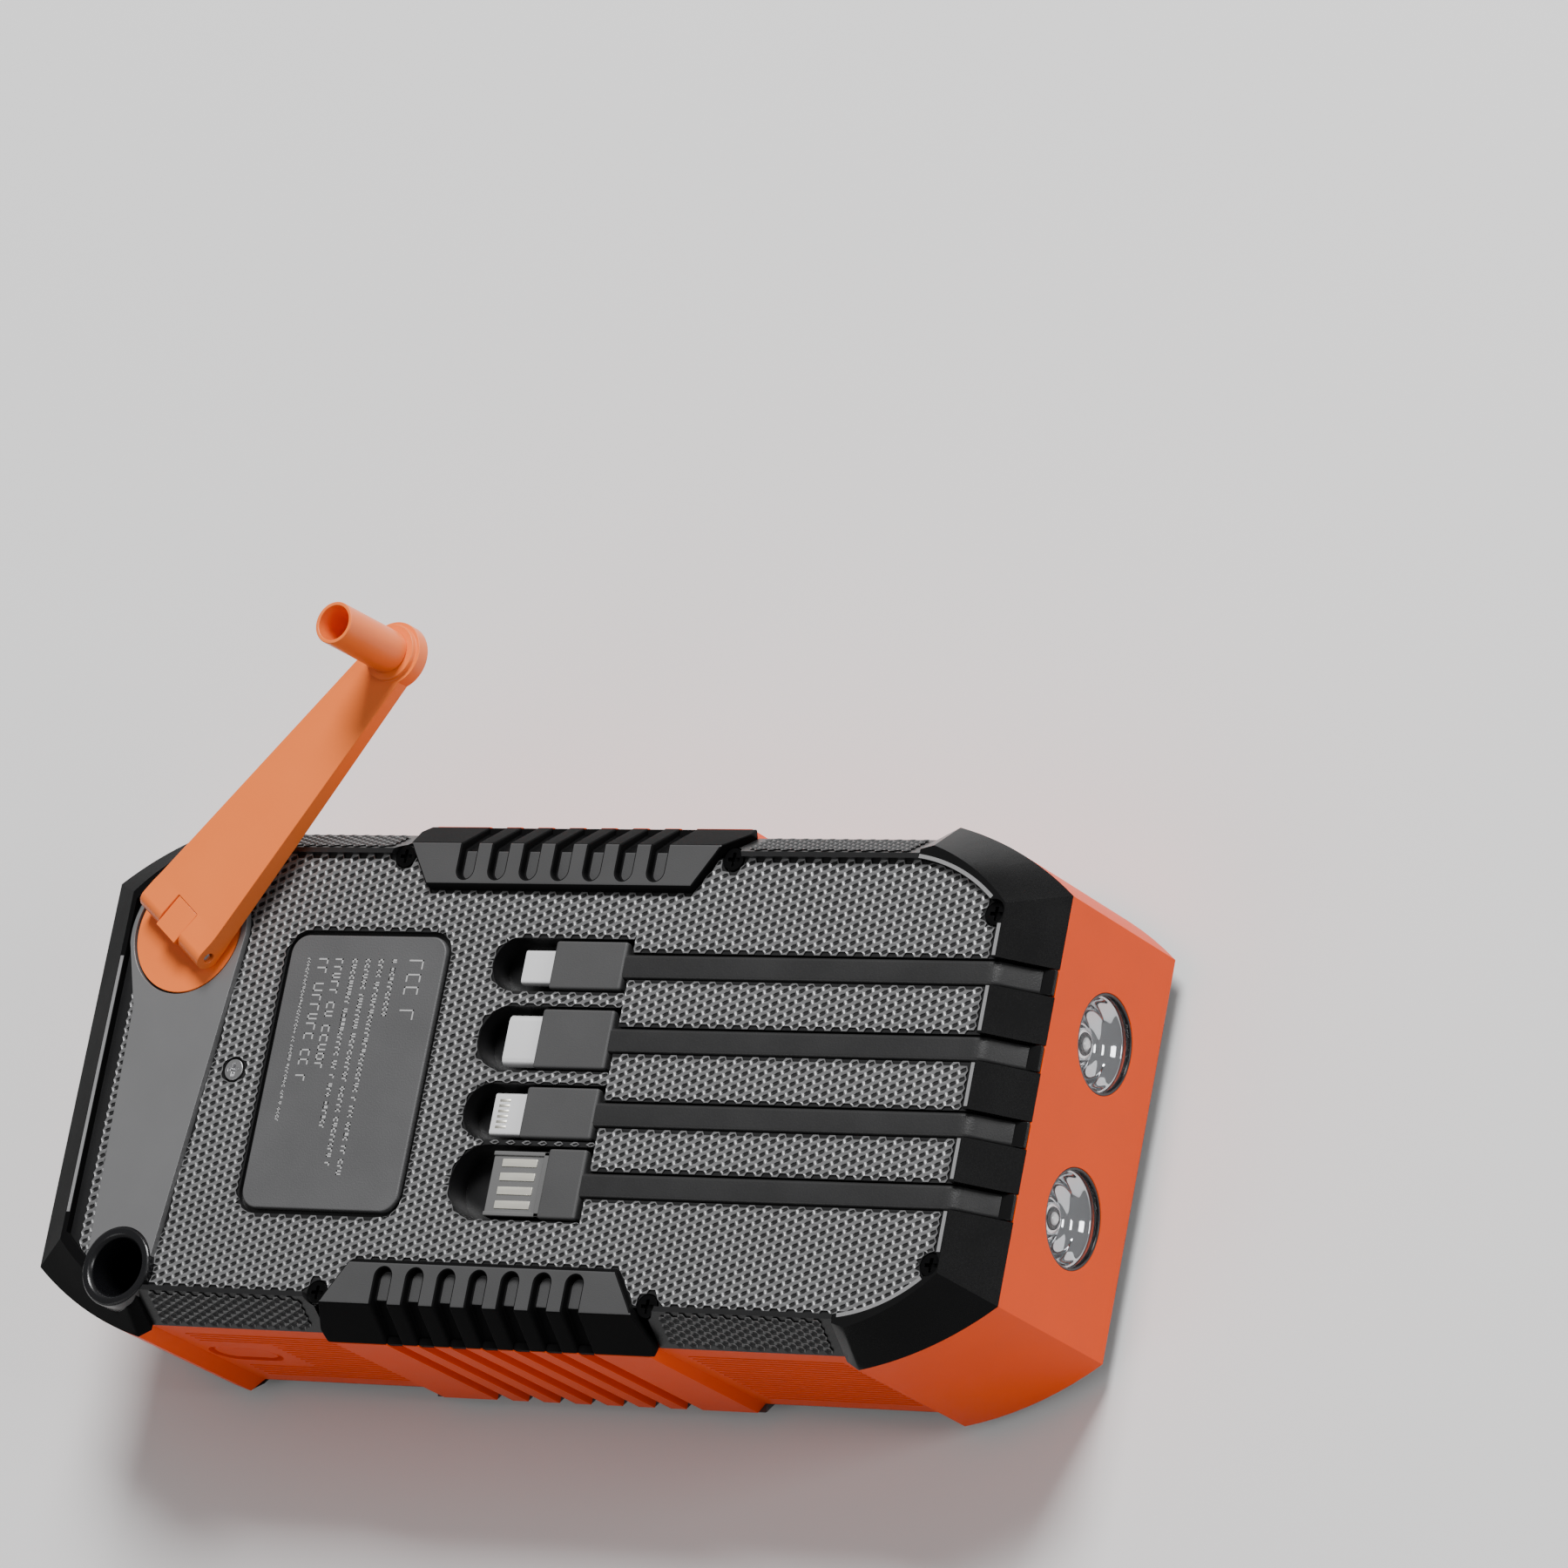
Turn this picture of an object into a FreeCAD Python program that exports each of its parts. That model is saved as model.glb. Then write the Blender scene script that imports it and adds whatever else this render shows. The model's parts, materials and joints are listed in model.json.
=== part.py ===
import FreeCAD, Part
import math
import os
import sys
import Sketcher

sys.path.append(os.path.join(FreeCAD.getHomePath(), "Mod", "PartDesign"))
from fcgear import fcgear, involute

# Hand-crank solar charger. It lies on its solar face: X runs along the case towards the lamps,
# Y across it towards the crank hub, Z up out of the back. The origin is the centre of the solar
# panel's outer face. All sizes are in millimetres.

SIZES = {
    # case, in layers from the solar face to the back
    "half_len": 88.6, "half_wid": 40.0, "front_rim": -0.5, "band_low": 3.4, "band_high": 34.0,
    "back_rim": 40.0, "deck": 38.8, "wall": 2.0, "corner_x": 64.3, "end_flat": 31.5,
    "guard_wid": 42.0, "guard_round": 56.0, "deck_half_len": 80.1, "deck_half_wid": 35.2,
    "deck_end_flat": 27.2, "deck_round": 27.0, "core_half_len": 86.2, "core_half_wid": 38.4,
    "core_end_flat": 30.3, "core_round": 40.0, "rim_half_len": 81.0, "rim_half_wid": 36.0,
    # side grips
    "grip_half": 30.8, "grip_wid": 41.5, "grip_top": 40.4, "rib_pitch": 5.9, "rib_gap": 2.9,
    "rib_depth": 1.3,
    # solar panel
    "panel_half_len": 80.0, "panel_half_wid": 34.5, "panel_round": 27.0, "panel_end_flat": 27.0,
    "cell_len": 12.9, "cell_wid": 29.0, "cell_pitch": 14.2, "cell_gap": 3.5, "first_cell": -68.1,
    "led_x": -73.3, "green_y": 20.3, "blue_y": -9.6, "blue_pitch": 4.65,
    # crank
    "hub_x": -68.7, "hub_y": 22.0, "hub_rad": 9.9, "pin_z": 42.2, "throw": 54.7, "azimuth": 53.5,
    "rise": 2.0, "arm_root": 8.6, "arm_tip": 4.6, "arm_end": 5.2, "arm_thick": 1.8,
    "barrel": 2.1, "tongue_rad": 4.1, "slot_rad": 4.2, "pin_rad": 0.8, "grip_rad": 3.4, "grip_bore": 2.8, "grip_len": 14.6,
    "pocket_x": -69.0, "pocket_y": -32.5, "pocket_ring": 6.4, "pocket_cup": 5.3, "pocket_bore": 4.6,
    # gear train
    "module": 0.5, "mesh_slack": 0.1, "idler_heading": -30.0,
    "motor_heading": -60.0, "motor_rad": 10.0,
    # torch lamps, button and ports
    "lamp_y": 13.5, "lamp_z": 18.3, "lamp_rad": 7.6, "button_x": -57.2, "mid_z": 18.7,
    "flap_half": 21.1, "port_half": 20.0,
    # fasteners
    "side_screw_x": 30.5, "side_screw_y": 35.0, "end_screw_x": 79.0, "end_screw_y": 27.0,
    "plate_screw_x": -55.1,
    # leads: strap section, plug bay, and the hinge line where a strap bends
    "strap_wid": 3.9, "strap_thick": 1.6, "strap_top": 38.9, "bend_x": 79.2, "plug_back": 14.3,
    "plug_front": 1.1, "bay_back": 15.3, "bay_floor": 34.2, "plug_top": 39.1, "plug_low": 34.6,
    "fit": 0.05,
}

GEAR_TEETH = {"crank": 42, "idler_small": 10, "idler_large": 36, "motor": 10}

# every lead: place across the case, width of its plug body, then its tip's width, height and end
LEADS = {
    1: {"y": 17.9, "plug": 7.7, "tip": (5.4, 1.9, -5.0)},
    2: {"y": 6.2, "plug": 9.4, "tip": (8.2, 2.5, -5.4)},
    3: {"y": -5.5, "plug": 8.1, "tip": (6.7, 1.7, -5.4)},
    4: {"y": -16.6, "plug": 11.0, "tip": (10.2, 2.2, -3.2)},
}

doc = FreeCAD.newDocument("solar_charger")
sheet = doc.addObject("Spreadsheet::Sheet", "dims")
for row, (alias, number) in enumerate(SIZES.items(), start=1):
    sheet.set(f"A{row}", str(number))
    sheet.setAlias(f"A{row}", alias)
doc.recompute()


class Size:
    """A length that carries both its value and the sheet formula that gives it."""

    def __init__(self, value, formula):
        self.value = value
        self.formula = formula

    def __add__(self, other):
        other = size(other)
        return Size(self.value + other.value, f"({self.formula} + {other.formula})")

    def __sub__(self, other):
        other = size(other)
        return Size(self.value - other.value, f"({self.formula} - {other.formula})")

    def __mul__(self, factor):
        return Size(self.value * factor, f"({self.formula} * {factor})")

    def __neg__(self):
        return self * -1

    def __radd__(self, other):
        return size(other) + self

    def __rsub__(self, other):
        return size(other) - self


def size(number):
    if isinstance(number, Size):
        return number
    return Size(float(number), f"{number}")


class Sheet:
    """Each cell of the sheet as a Size, read by its alias."""

    def __getattr__(self, alias):
        return Size(SIZES[alias], f"dims.{alias}")


dim = Sheet()
nodes = {}


def node(name, thing):
    """Name a finished sub-part; the label is the name of the file it is written to."""
    thing.Label = name
    nodes[name] = thing
    return thing


def bind(thing, **places):
    """Tie properties to the sheet; a double underscore in a name stands for a dot."""
    for name, value in places.items():
        thing.setExpression(name.replace("__", "."), size(value).formula)
    return thing


def point(pair):
    return FreeCAD.Vector(pair[0].value, pair[1].value, 0)


# ---- sketches ----------------------------------------------------------------------------------

class Bow:
    """Stands between two points of an outline whose edge is an arc; it bulges to the right."""

    def __init__(self, radius):
        self.radius = size(radius)


def pin_point(sketch, edge, end, x, y):
    """Hold one point of a sketch at its distance from the origin."""
    for kind, axis, place in (("DistanceX", -2, x), ("DistanceY", -1, y)):
        if abs(place.value) < 1e-9:
            sketch.addConstraint(Sketcher.Constraint("PointOnObject", edge, end, axis))
        else:
            index = sketch.addConstraint(Sketcher.Constraint(kind, -1, 1, edge, end, place.value))
            sketch.setExpression(f"Constraints[{index}]", place.formula)


def arc_between(start, end, radius):
    """Arc from start to end about a centre on the left of the way there."""
    half = (end - start) * 0.5
    left = FreeCAD.Vector(-half.y, half.x, 0).normalize()
    centre = start + half + left * math.sqrt(radius ** 2 - half.Length ** 2)
    angles = [math.atan2(p.y - centre.y, p.x - centre.x) for p in (start, end)]
    if angles[1] < angles[0]:
        angles[1] += 2 * math.pi
    return Part.ArcOfCircle(Part.Circle(centre, FreeCAD.Vector(0, 0, 1), radius), *angles)


def draw_outline(sketch, outline):
    corners = [(size(p[0]), size(p[1])) for p in outline if not isinstance(p, Bow)]
    bows = {}
    for index, item in enumerate(outline):
        if isinstance(item, Bow):
            bows[index - 1 - len(bows)] = item.radius
    edges = []
    for index, start in enumerate(corners):
        ends = point(start), point(corners[(index + 1) % len(corners)])
        if index in bows:
            shape = arc_between(*ends, bows[index].value)
        else:
            shape = Part.LineSegment(*ends)
        edges.append(sketch.addGeometry(shape, False))
    for index, edge in enumerate(edges):
        following = edges[(index + 1) % len(edges)]
        sketch.addConstraint(Sketcher.Constraint("Coincident", edge, 2, following, 1))
        pin_point(sketch, edge, 1, *corners[index])
        if index in bows:
            place = sketch.addConstraint(Sketcher.Constraint("Radius", edge, bows[index].value))
            sketch.setExpression(f"Constraints[{place}]", bows[index].formula)


def draw_circle(sketch, x, y, radius):
    x, y, radius = size(x), size(y), size(radius)
    circle = Part.Circle(point((x, y)), FreeCAD.Vector(0, 0, 1), radius.value)
    edge = sketch.addGeometry(circle, False)
    pin_point(sketch, edge, 3, x, y)
    index = sketch.addConstraint(Sketcher.Constraint("Radius", edge, radius.value))
    sketch.setExpression(f"Constraints[{index}]", radius.formula)


# ---- bodies ------------------------------------------------------------------------------------

class Body:
    """A PartDesign body. Planes: XY looks along +Z, XZ along -Y, YZ along +X."""

    def __init__(self, name):
        self.name = name
        self.body = doc.addObject("PartDesign::Body", name)
        self.body.Label = name

    def sketch(self, plane, height, loops):
        sketch = self.body.newObject("Sketcher::SketchObject", f"{self.name}_sketch")
        face = next(f for f in self.body.Origin.OriginFeatures if f.Role == f"{plane}_Plane")
        sketch.AttachmentSupport = (face, "")
        sketch.MapMode = "FlatFace"
        bind(sketch, AttachmentOffset__Base__z=height)
        for loop in loops:
            if isinstance(loop, tuple):
                draw_circle(sketch, *loop)
            else:
                draw_outline(sketch, loop)
        return sketch

    def pad(self, plane, height, length, *loops, both=False):
        """Add material from a sketch: along the plane's normal, or half each way."""
        feature = self.body.newObject("PartDesign::Pad", f"{self.name}_pad")
        feature.Profile = self.sketch(plane, height, loops)
        feature.SideType = "Symmetric" if both else "One side"
        return bind(feature, Length=length)

    def pocket(self, plane, height, depth, *loops, along=False):
        """Cut from a sketch: against the plane's normal, or along it."""
        feature = self.body.newObject("PartDesign::Pocket", f"{self.name}_pocket")
        feature.Profile = self.sketch(plane, height, loops)
        feature.Reversed = along
        return bind(feature, Length=depth)

    def loft(self, low, low_loop, high, high_loop):
        feature = self.body.newObject("PartDesign::AdditiveLoft", f"{self.name}_loft")
        feature.Profile = self.sketch("XY", low, [low_loop])
        feature.Sections = [self.sketch("XY", high, [high_loop])]
        feature.Ruled = True
        return feature

    def turn(self, plane, height, loop, axis="V_Axis"):
        """Add a turned shape about the sketch's own upright or level axis."""
        feature = self.body.newObject("PartDesign::Revolution", f"{self.name}_turn")
        feature.Profile = self.sketch(plane, height, [loop])
        feature.ReferenceAxis = (feature.Profile[0], [axis])
        feature.Angle = 360
        return feature

    def repeat(self, feature, count, length):
        """Repeat a feature along X, spread over a length."""
        pattern = self.body.newObject("PartDesign::LinearPattern", f"{self.name}_pattern")
        pattern.Originals = [feature]
        along = next(f for f in self.body.Origin.OriginFeatures if f.Role == "X_Axis")
        pattern.Direction = (along, [""])
        pattern.Occurrences = count
        bind(pattern, Length=length)
        self.body.Tip = pattern
        return pattern


def place(thing, x=0, y=0, z=0, yaw=0.0, pitch=0.0, roll=0.0):
    thing.Placement = FreeCAD.Placement(FreeCAD.Vector(), FreeCAD.Rotation(yaw, pitch, roll))
    return bind(thing, Placement__Base__x=x, Placement__Base__y=y, Placement__Base__z=z)


def box(name, xs, ys, zs):
    """Block between pairs of limits."""
    block = doc.addObject("Part::Box", name)
    spans = [size(high) - size(low) for low, high in (xs, ys, zs)]
    bind(block, Length=spans[0], Width=spans[1], Height=spans[2])
    return place(block, xs[0], ys[0], zs[0])


def rod(name, radius, start, length, along="Z"):
    """Round bar from a start point, along one axis."""
    bar = doc.addObject("Part::Cylinder", name)
    bind(bar, Radius=radius, Height=length)
    turns = {"X": {"pitch": 90.0}, "Y": {"roll": -90.0}, "Z": {}}
    return place(bar, *start, **turns[along])


def cut(base, *tools):
    for tool in tools:
        result = doc.addObject("Part::Cut", f"{base.Name}_cut")
        result.Base = base
        result.Tool = tool
        base = result
    return base


def fuse(*things):
    result = doc.addObject("Part::MultiFuse", f"{things[0].Name}_fuse")
    result.Shapes = list(things)
    return result


def common(first, second):
    result = doc.addObject("Part::Common", f"{first.Name}_common")
    result.Base = first
    result.Tool = second
    return result


def group(*things):
    """Separate solids of one node."""
    result = doc.addObject("Part::Compound", f"{things[0].Name}_group")
    result.Links = list(things)
    return result


# ---- outlines ----------------------------------------------------------------------------------

def rounded_case(half_len, half_wid, corner_x, end_flat, radius):
    """Four straight sides joined by bowed corners."""
    return [
        (corner_x, -half_wid), Bow(radius), (half_len, -end_flat),
        (half_len, end_flat), Bow(radius), (corner_x, half_wid),
        (-corner_x, half_wid), Bow(radius), (-half_len, end_flat),
        (-half_len, -end_flat), Bow(radius), (-corner_x, -half_wid),
    ]


def guarded_case(half_len, half_wid, guard_wid, end_flat, radius):
    """The same with guards that step out at the corners."""
    ramp = dim.corner_x + 2.3
    return [
        (dim.corner_x, -half_wid), (ramp, -guard_wid), Bow(radius), (half_len, -end_flat),
        (half_len, end_flat), Bow(radius), (ramp, guard_wid), (dim.corner_x, half_wid),
        (-dim.corner_x, half_wid), (-ramp, guard_wid), Bow(radius), (-half_len, end_flat),
        (-half_len, -end_flat), Bow(radius), (-ramp, -guard_wid), (-dim.corner_x, -half_wid),
    ]


def rectangle(xs, ys):
    return [(xs[0], ys[0]), (xs[1], ys[0]), (xs[1], ys[1]), (xs[0], ys[1])]


def rounded(xs, ys, radius):
    """Rectangle with rounded corners."""
    left, right, low, high = *map(size, xs), *map(size, ys)
    bow = Bow(radius)
    return [
        (left + radius, low), (right - radius, low), bow, (right, low + radius),
        (right, high - radius), bow, (right - radius, high),
        (left + radius, high), bow, (left, high - radius),
        (left, low + radius), bow,
    ]


def pill(x, y, half_len, half_wid):
    """Long round-ended outline; each end is two quarter arcs."""
    inner = half_len - half_wid
    x, y, bow = size(x), size(y), Bow(half_wid)
    return [
        (x - inner, y - half_wid), (x + inner, y - half_wid), bow, (x + half_len, y), bow,
        (x + inner, y + half_wid), (x - inner, y + half_wid), bow, (x - half_len, y), bow,
    ]


def bay(x_round, x_back, y, half_wid):
    """Pocket outline with one round end towards -X."""
    half_wid = size(half_wid)
    centre, bow = size(x_round) + half_wid, Bow(half_wid)
    y = size(y)
    return [
        (centre, y - half_wid), (x_back, y - half_wid), (x_back, y + half_wid),
        (centre, y + half_wid), bow, (x_round, y), bow,
    ]


def deck_outline(extra=0.0):
    return rounded_case(dim.deck_half_len + extra, dim.deck_half_wid + extra, dim.corner_x,
                        dim.deck_end_flat + extra, dim.deck_round)


def core_outline():
    return rounded_case(dim.core_half_len, dim.core_half_wid, dim.corner_x, dim.core_end_flat,
                        dim.core_round)


SIDES = (-1, 1)


def screw_places():
    side = [(dim.side_screw_x * sx, dim.side_screw_y * sy) for sx in SIDES for sy in SIDES]
    return side + [(dim.end_screw_x, dim.end_screw_y * sy) for sy in SIDES]


# ---- case shells -------------------------------------------------------------------------------

def make_mid_band():
    band = Body("band")
    tall = dim.band_high - dim.band_low
    band.pad("XY", dim.band_low, tall,
             guarded_case(dim.half_len, dim.half_wid, dim.guard_wid, dim.end_flat,
                          dim.guard_round))
    inner = dim.half_wid - 0.6
    ramp = dim.grip_half - 1.5
    band.pad("XY", dim.band_low, tall,
             [(-dim.grip_half, inner), (dim.grip_half, inner), (ramp, dim.grip_wid),
              (-ramp, dim.grip_wid)],
             [(-dim.grip_half, -inner), (-ramp, -dim.grip_wid), (ramp, -dim.grip_wid),
              (dim.grip_half, -inner)])
    start = dim.rib_pitch * -3
    floor = dim.grip_wid - dim.rib_depth
    span = (start - dim.rib_gap * 0.5, start + dim.rib_gap * 0.5)
    ribs = band.pocket("XY", dim.band_high, tall,
                       rectangle(span, (floor, floor + 3)), rectangle(span, (-floor - 3, -floor)))
    band.repeat(ribs, 7, dim.rib_pitch * 6)
    band.pocket("XY", dim.band_high, tall,
                rounded_case(dim.half_len - dim.wall, dim.half_wid - dim.wall, dim.corner_x + 4,
                             30.3, 60))
    for side in SIDES:
        band.pocket("YZ", dim.half_len, 6, (dim.lamp_y * side, dim.lamp_z, dim.lamp_rad + 0.1))
    band.pocket("XZ", dim.half_wid, 0.8, pill(dim.button_x, dim.mid_z, 6.5, 3.5))
    band.pocket("XZ", dim.half_wid, 4, pill(dim.button_x, dim.mid_z, 5.9, 2.9))
    band.pocket("YZ", -dim.half_len, 1.6, rectangle((-dim.flap_half - 0.5, dim.flap_half),
                                                    (6.2, 31.2)), along=True)
    band.pocket("YZ", -dim.half_len, 6, rectangle((-dim.port_half, dim.port_half), (9.2, 17.4)),
                along=True)
    cup = rod("band_cup", dim.pocket_cup + 0.2, (dim.pocket_x, dim.pocket_y, 19.6), 20)
    return node("mid_band", cut(band.body, cup))


def strap_groove(name, y):
    """Tool for the channel of one strap: level along the deck, then down the end."""
    half = dim.strap_wid * 0.5 + 0.2
    low = dim.strap_top - dim.strap_thick - 0.05
    groove = Body(name)
    groove.pad("XZ", -half - y, half * 2, [
        (dim.bay_back - 1, low), (80.0, low), (84.0, dim.band_high), (92, dim.band_high),
        (92, 42), (dim.bay_back - 1, 42)])
    return groove.body


def cover_core(name):
    """Tapered block under the back: the whole cover but for its rims."""
    core = Body(name)
    core.loft(dim.band_high, core_outline(), dim.deck, deck_outline())
    return core


def make_rear_cover():
    cover = cover_core("cover")
    rail_start = dim.grip_half + 0.1
    rail_len = dim.corner_x - dim.grip_half - 0.2
    rail = [(dim.core_half_wid - 1, dim.band_high), (dim.half_wid, dim.band_high),
            (dim.rim_half_wid, dim.back_rim), (dim.deck_half_wid, dim.back_rim),
            (dim.deck_half_wid, dim.deck - 1)]
    mirrored = [(-y, z) for y, z in reversed(rail)]
    for start in (rail_start, -rail_start - rail_len):
        cover.pad("YZ", start, rail_len, rail, mirrored)
    under = dim.deck - 2.4
    cover.pocket("XY", under, under - dim.band_high,
                 rounded_case(dim.core_half_len - 4.2, dim.core_half_wid - 3.2, dim.corner_x - 1,
                              26.5, dim.core_round))
    cover.pad("XY", 32.6, under - 32.6, rectangle((-12.5, 17.5), (-23.2, 23.2)))
    cover.pad("XY", 34.9, under - 34.9, (dim.hub_x, dim.hub_y, 6.5))
    for x, y in screw_places():
        cover.pad("XY", 33.95, under - 33.95, (x, y, 2.4))
    for lead in LEADS.values():
        cover.pocket("XY", dim.deck, dim.deck - dim.bay_floor,
                     bay(-10, dim.bay_back, lead["y"], lead["plug"] / 2 + 0.4))
    cover.pocket("XY", dim.deck, 0.9, rounded((-49.3, -18.2), (-22.8, 22.8), 3.8))
    cover.pocket("XY", dim.deck, 8, (dim.hub_x, dim.hub_y, 4 + dim.fit),
                 (dim.pocket_x, dim.pocket_y, dim.pocket_cup + 0.1), (dim.plate_screw_x, 0, 1.2))
    cover.pocket("XY", dim.deck, 1.0, (dim.plate_screw_x, 0, 2.0))
    for x, y in screw_places():
        cover.pocket("XY", dim.back_rim, 2.2, (x, y, 2.0))
        cover.pocket("XY", dim.back_rim, 6.2, (x, y, 1.1))
    cover.pocket("XY", dim.back_rim, 6, (dim.pocket_x, dim.pocket_y, dim.pocket_ring + 0.02))
    grooves = [strap_groove(f"cover_groove_{number}", lead["y"])
               for number, lead in LEADS.items()]
    slots = [box(f"cover_slot_{number}", (78, 92), (lead["y"] - 2.15, lead["y"] + 2.15),
                 (dim.band_high - 0.1, 35.8)) for number, lead in LEADS.items()]
    return node("rear_cover", cut(cover.body, fuse(*grooves, *slots)))


def make_rear_bumpers():
    """Glossy pieces that wrap the back's two ends, over the corners."""
    for name, side in (("lamp_end_bumper", 1), ("crank_end_bumper", -1)):
        shell = Body(f"{name}_shell")
        shell.loft(dim.band_high,
                   guarded_case(dim.half_len, dim.half_wid + 0.8, dim.guard_wid, dim.end_flat,
                                dim.guard_round),
                   dim.back_rim,
                   guarded_case(dim.rim_half_len, dim.rim_half_wid + 0.6, dim.rim_half_wid + 1.2,
                                dim.deck_end_flat + 1.2, 36))
        well = Body(f"{name}_well")
        well.pad("XY", dim.deck - 0.01, 4, deck_outline())
        middle = box(f"{name}_middle", (-100, dim.corner_x) if side > 0 else (-dim.corner_x, 100),
                     (-60, 60), (30, 50))
        shape = cut(shell.body, cover_core(f"{name}_core").body, well.body, middle)
        if side > 0:
            grooves = [strap_groove(f"bumper_groove_{number}", lead["y"])
                       for number, lead in LEADS.items()]
            notches = [rod(f"bumper_notch_{sy}", 2.0,
                           (dim.end_screw_x, dim.end_screw_y * sy, 37.8), 5) for sy in SIDES]
            shape = cut(shape, fuse(*grooves), *notches)
        else:
            ring = rod("bumper_ring", dim.pocket_ring + 0.02,
                       (dim.pocket_x, dim.pocket_y, 33), 10)
            shape = cut(shape, ring)
        node(name, shape)


def make_rear_grips():
    """Ribbed pads half way along each side of the back."""
    halves = []
    slot_end = 32.5
    for side in SIDES:
        section = [(dim.core_half_wid, dim.band_high), (dim.grip_wid, dim.band_high),
                   (dim.rim_half_wid + 0.8, dim.grip_top), (30.3, dim.grip_top), (29.6, 39.8),
                   (29.6, dim.deck), (dim.deck_half_wid, dim.deck)]
        slot = [(slot_end, dim.grip_top - dim.rib_depth), (35.9, dim.grip_top - dim.rib_depth),
                (dim.grip_wid - dim.rib_depth, dim.band_high), (46, dim.band_high), (46, 44),
                (slot_end, 44)]
        plan = [(-24, 29), (24, 29), (28.2, 35.5), (dim.grip_half, dim.half_wid),
                (dim.grip_half - 1, 43), (-dim.grip_half + 1, 43), (-dim.grip_half, dim.half_wid),
                (-28.2, 35.5)]
        if side < 0:
            section, slot, plan = ([(-y, z) for y, z in reversed(section)],
                                   [(-y, z) for y, z in reversed(slot)],
                                   [(x, -y) for x, y in reversed(plan)])
        pad = Body(f"grip_pad_{side + 2}")
        pad.pad("YZ", 0, dim.grip_half * 2, section, both=True)
        first = dim.rib_pitch * -3 - dim.rib_gap * 0.5
        ribs = pad.pocket("YZ", first, dim.rib_gap, slot, along=True)
        pad.repeat(ribs, 7, dim.rib_pitch * 6)
        rounds = pad.pocket("XY", dim.grip_top, dim.rib_depth,
                            (dim.rib_pitch * -3, slot_end * side, dim.rib_gap * 0.5))
        pad.repeat(rounds, 7, dim.rib_pitch * 6)
        mask = Body(f"grip_mask_{side + 2}")
        mask.pad("XY", 30, 14, plan)
        shape = common(pad.body, mask.body)
        notches = [rod(f"grip_notch_{side + 2}_{sx + 2}", 2.0,
                       (dim.side_screw_x * sx, dim.side_screw_y * side, 37.8), 5) for sx in SIDES]
        halves.append(cut(shape, *notches))
    node("rear_grips", group(*halves))


def front_core(name):
    core = Body(name)
    core.loft(dim.front_rim,
              rounded_case(83.2, dim.rim_half_wid, dim.corner_x, 28.6, dim.deck_round + 4),
              dim.band_low, core_outline())
    return core


def make_front_bezel():
    bezel = front_core("bezel")
    wedge = [(dim.rim_half_wid - 1, dim.front_rim), (dim.rim_half_wid, dim.front_rim),
             (dim.half_wid, dim.band_low), (dim.core_half_wid - 1, dim.band_low)]
    mirrored = [(-y, z) for y, z in reversed(wedge)]
    rail_start = dim.grip_half + 0.1
    rail_len = dim.corner_x - dim.grip_half - 0.2
    for start in (rail_start, -rail_start - rail_len):
        bezel.pad("YZ", start, rail_len, wedge, mirrored)
    for side in SIDES:
        end = [(82.2 * side, dim.front_rim), (83.2 * side, dim.front_rim),
               (dim.half_len * side, dim.band_low), ((dim.core_half_len - 1) * side, dim.band_low)]
        bezel.pad("XZ", 0, 42.8, end if side > 0 else list(reversed(end)), both=True)
    lip = rounded_case(dim.half_len - dim.wall - 0.2, dim.half_wid - dim.wall - 0.2,
                       dim.corner_x + 4, 30.1, 60)
    bezel.pad("XY", dim.band_low, 2.0, lip)
    bezel.pocket("XY", dim.front_rim, 2.7,
                 rounded_case(82.95, dim.rim_half_wid - 0.15, dim.corner_x, 27.2,
                              dim.panel_round), along=True)
    bezel.pocket("XY", 7, 9, rounded_case(76, 31, 66, 26.5, 40))
    bezel.pocket("XY", 7, 3.6, rounded_case(84.9, 36.3, dim.corner_x + 3, 28.9, 60))
    for x, y in screw_places():
        bezel.pad("XY", 2.4, 31.5, (x, y, 2.2))
        bezel.pocket("XY", 34, 10, (x, y, 0.75))
    for side in SIDES:
        bezel.pad("XY", 2.4, 5.6, (-78, 25.5 * side, 1.8))
    return node("front_bezel", bezel.body)


def make_front_guards():
    shell = Body("front_guard_shell")
    shell.loft(dim.front_rim,
               guarded_case(84.3, dim.rim_half_wid + 0.8, dim.rim_half_wid + 1.4, 29.6, 36),
               dim.band_low,
               guarded_case(dim.half_len, dim.half_wid + 0.8, dim.guard_wid, dim.end_flat,
                            dim.guard_round))
    middle = box("guard_middle", (-dim.corner_x, dim.corner_x), (-60, 60), (-5, 10))
    ends = box("guard_ends", (-100, 100), (-21.5, 21.5), (-5, 10))
    shape = cut(shell.body, front_core("guard_core").body, middle, ends)
    node("front_corner_guards", shape)


def make_front_grips():
    halves = []
    for side in SIDES:
        section = [(dim.rim_half_wid, dim.front_rim), (dim.rim_half_wid + 1.6, dim.front_rim),
                   (dim.grip_wid, dim.band_low), (dim.core_half_wid, dim.band_low)]
        floor = dim.grip_wid - dim.rib_depth
        slot = [(dim.rim_half_wid + 0.5, dim.front_rim - 1), (46, dim.front_rim - 1),
                (46, dim.band_low), (floor, dim.band_low), (dim.rim_half_wid + 0.5, 0)]
        if side < 0:
            section = [(-y, z) for y, z in reversed(section)]
            slot = [(-y, z) for y, z in reversed(slot)]
        pad = Body(f"front_grip_{side + 2}")
        pad.pad("YZ", 0, dim.grip_half * 2, section, both=True)
        first = dim.rib_pitch * -3 - dim.rib_gap * 0.5
        ribs = pad.pocket("YZ", first, dim.rib_gap, slot, along=True)
        pad.repeat(ribs, 7, dim.rib_pitch * 6)
        halves.append(pad.body)
    node("front_grips", group(*halves))


# ---- solar panel -------------------------------------------------------------------------------

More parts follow.
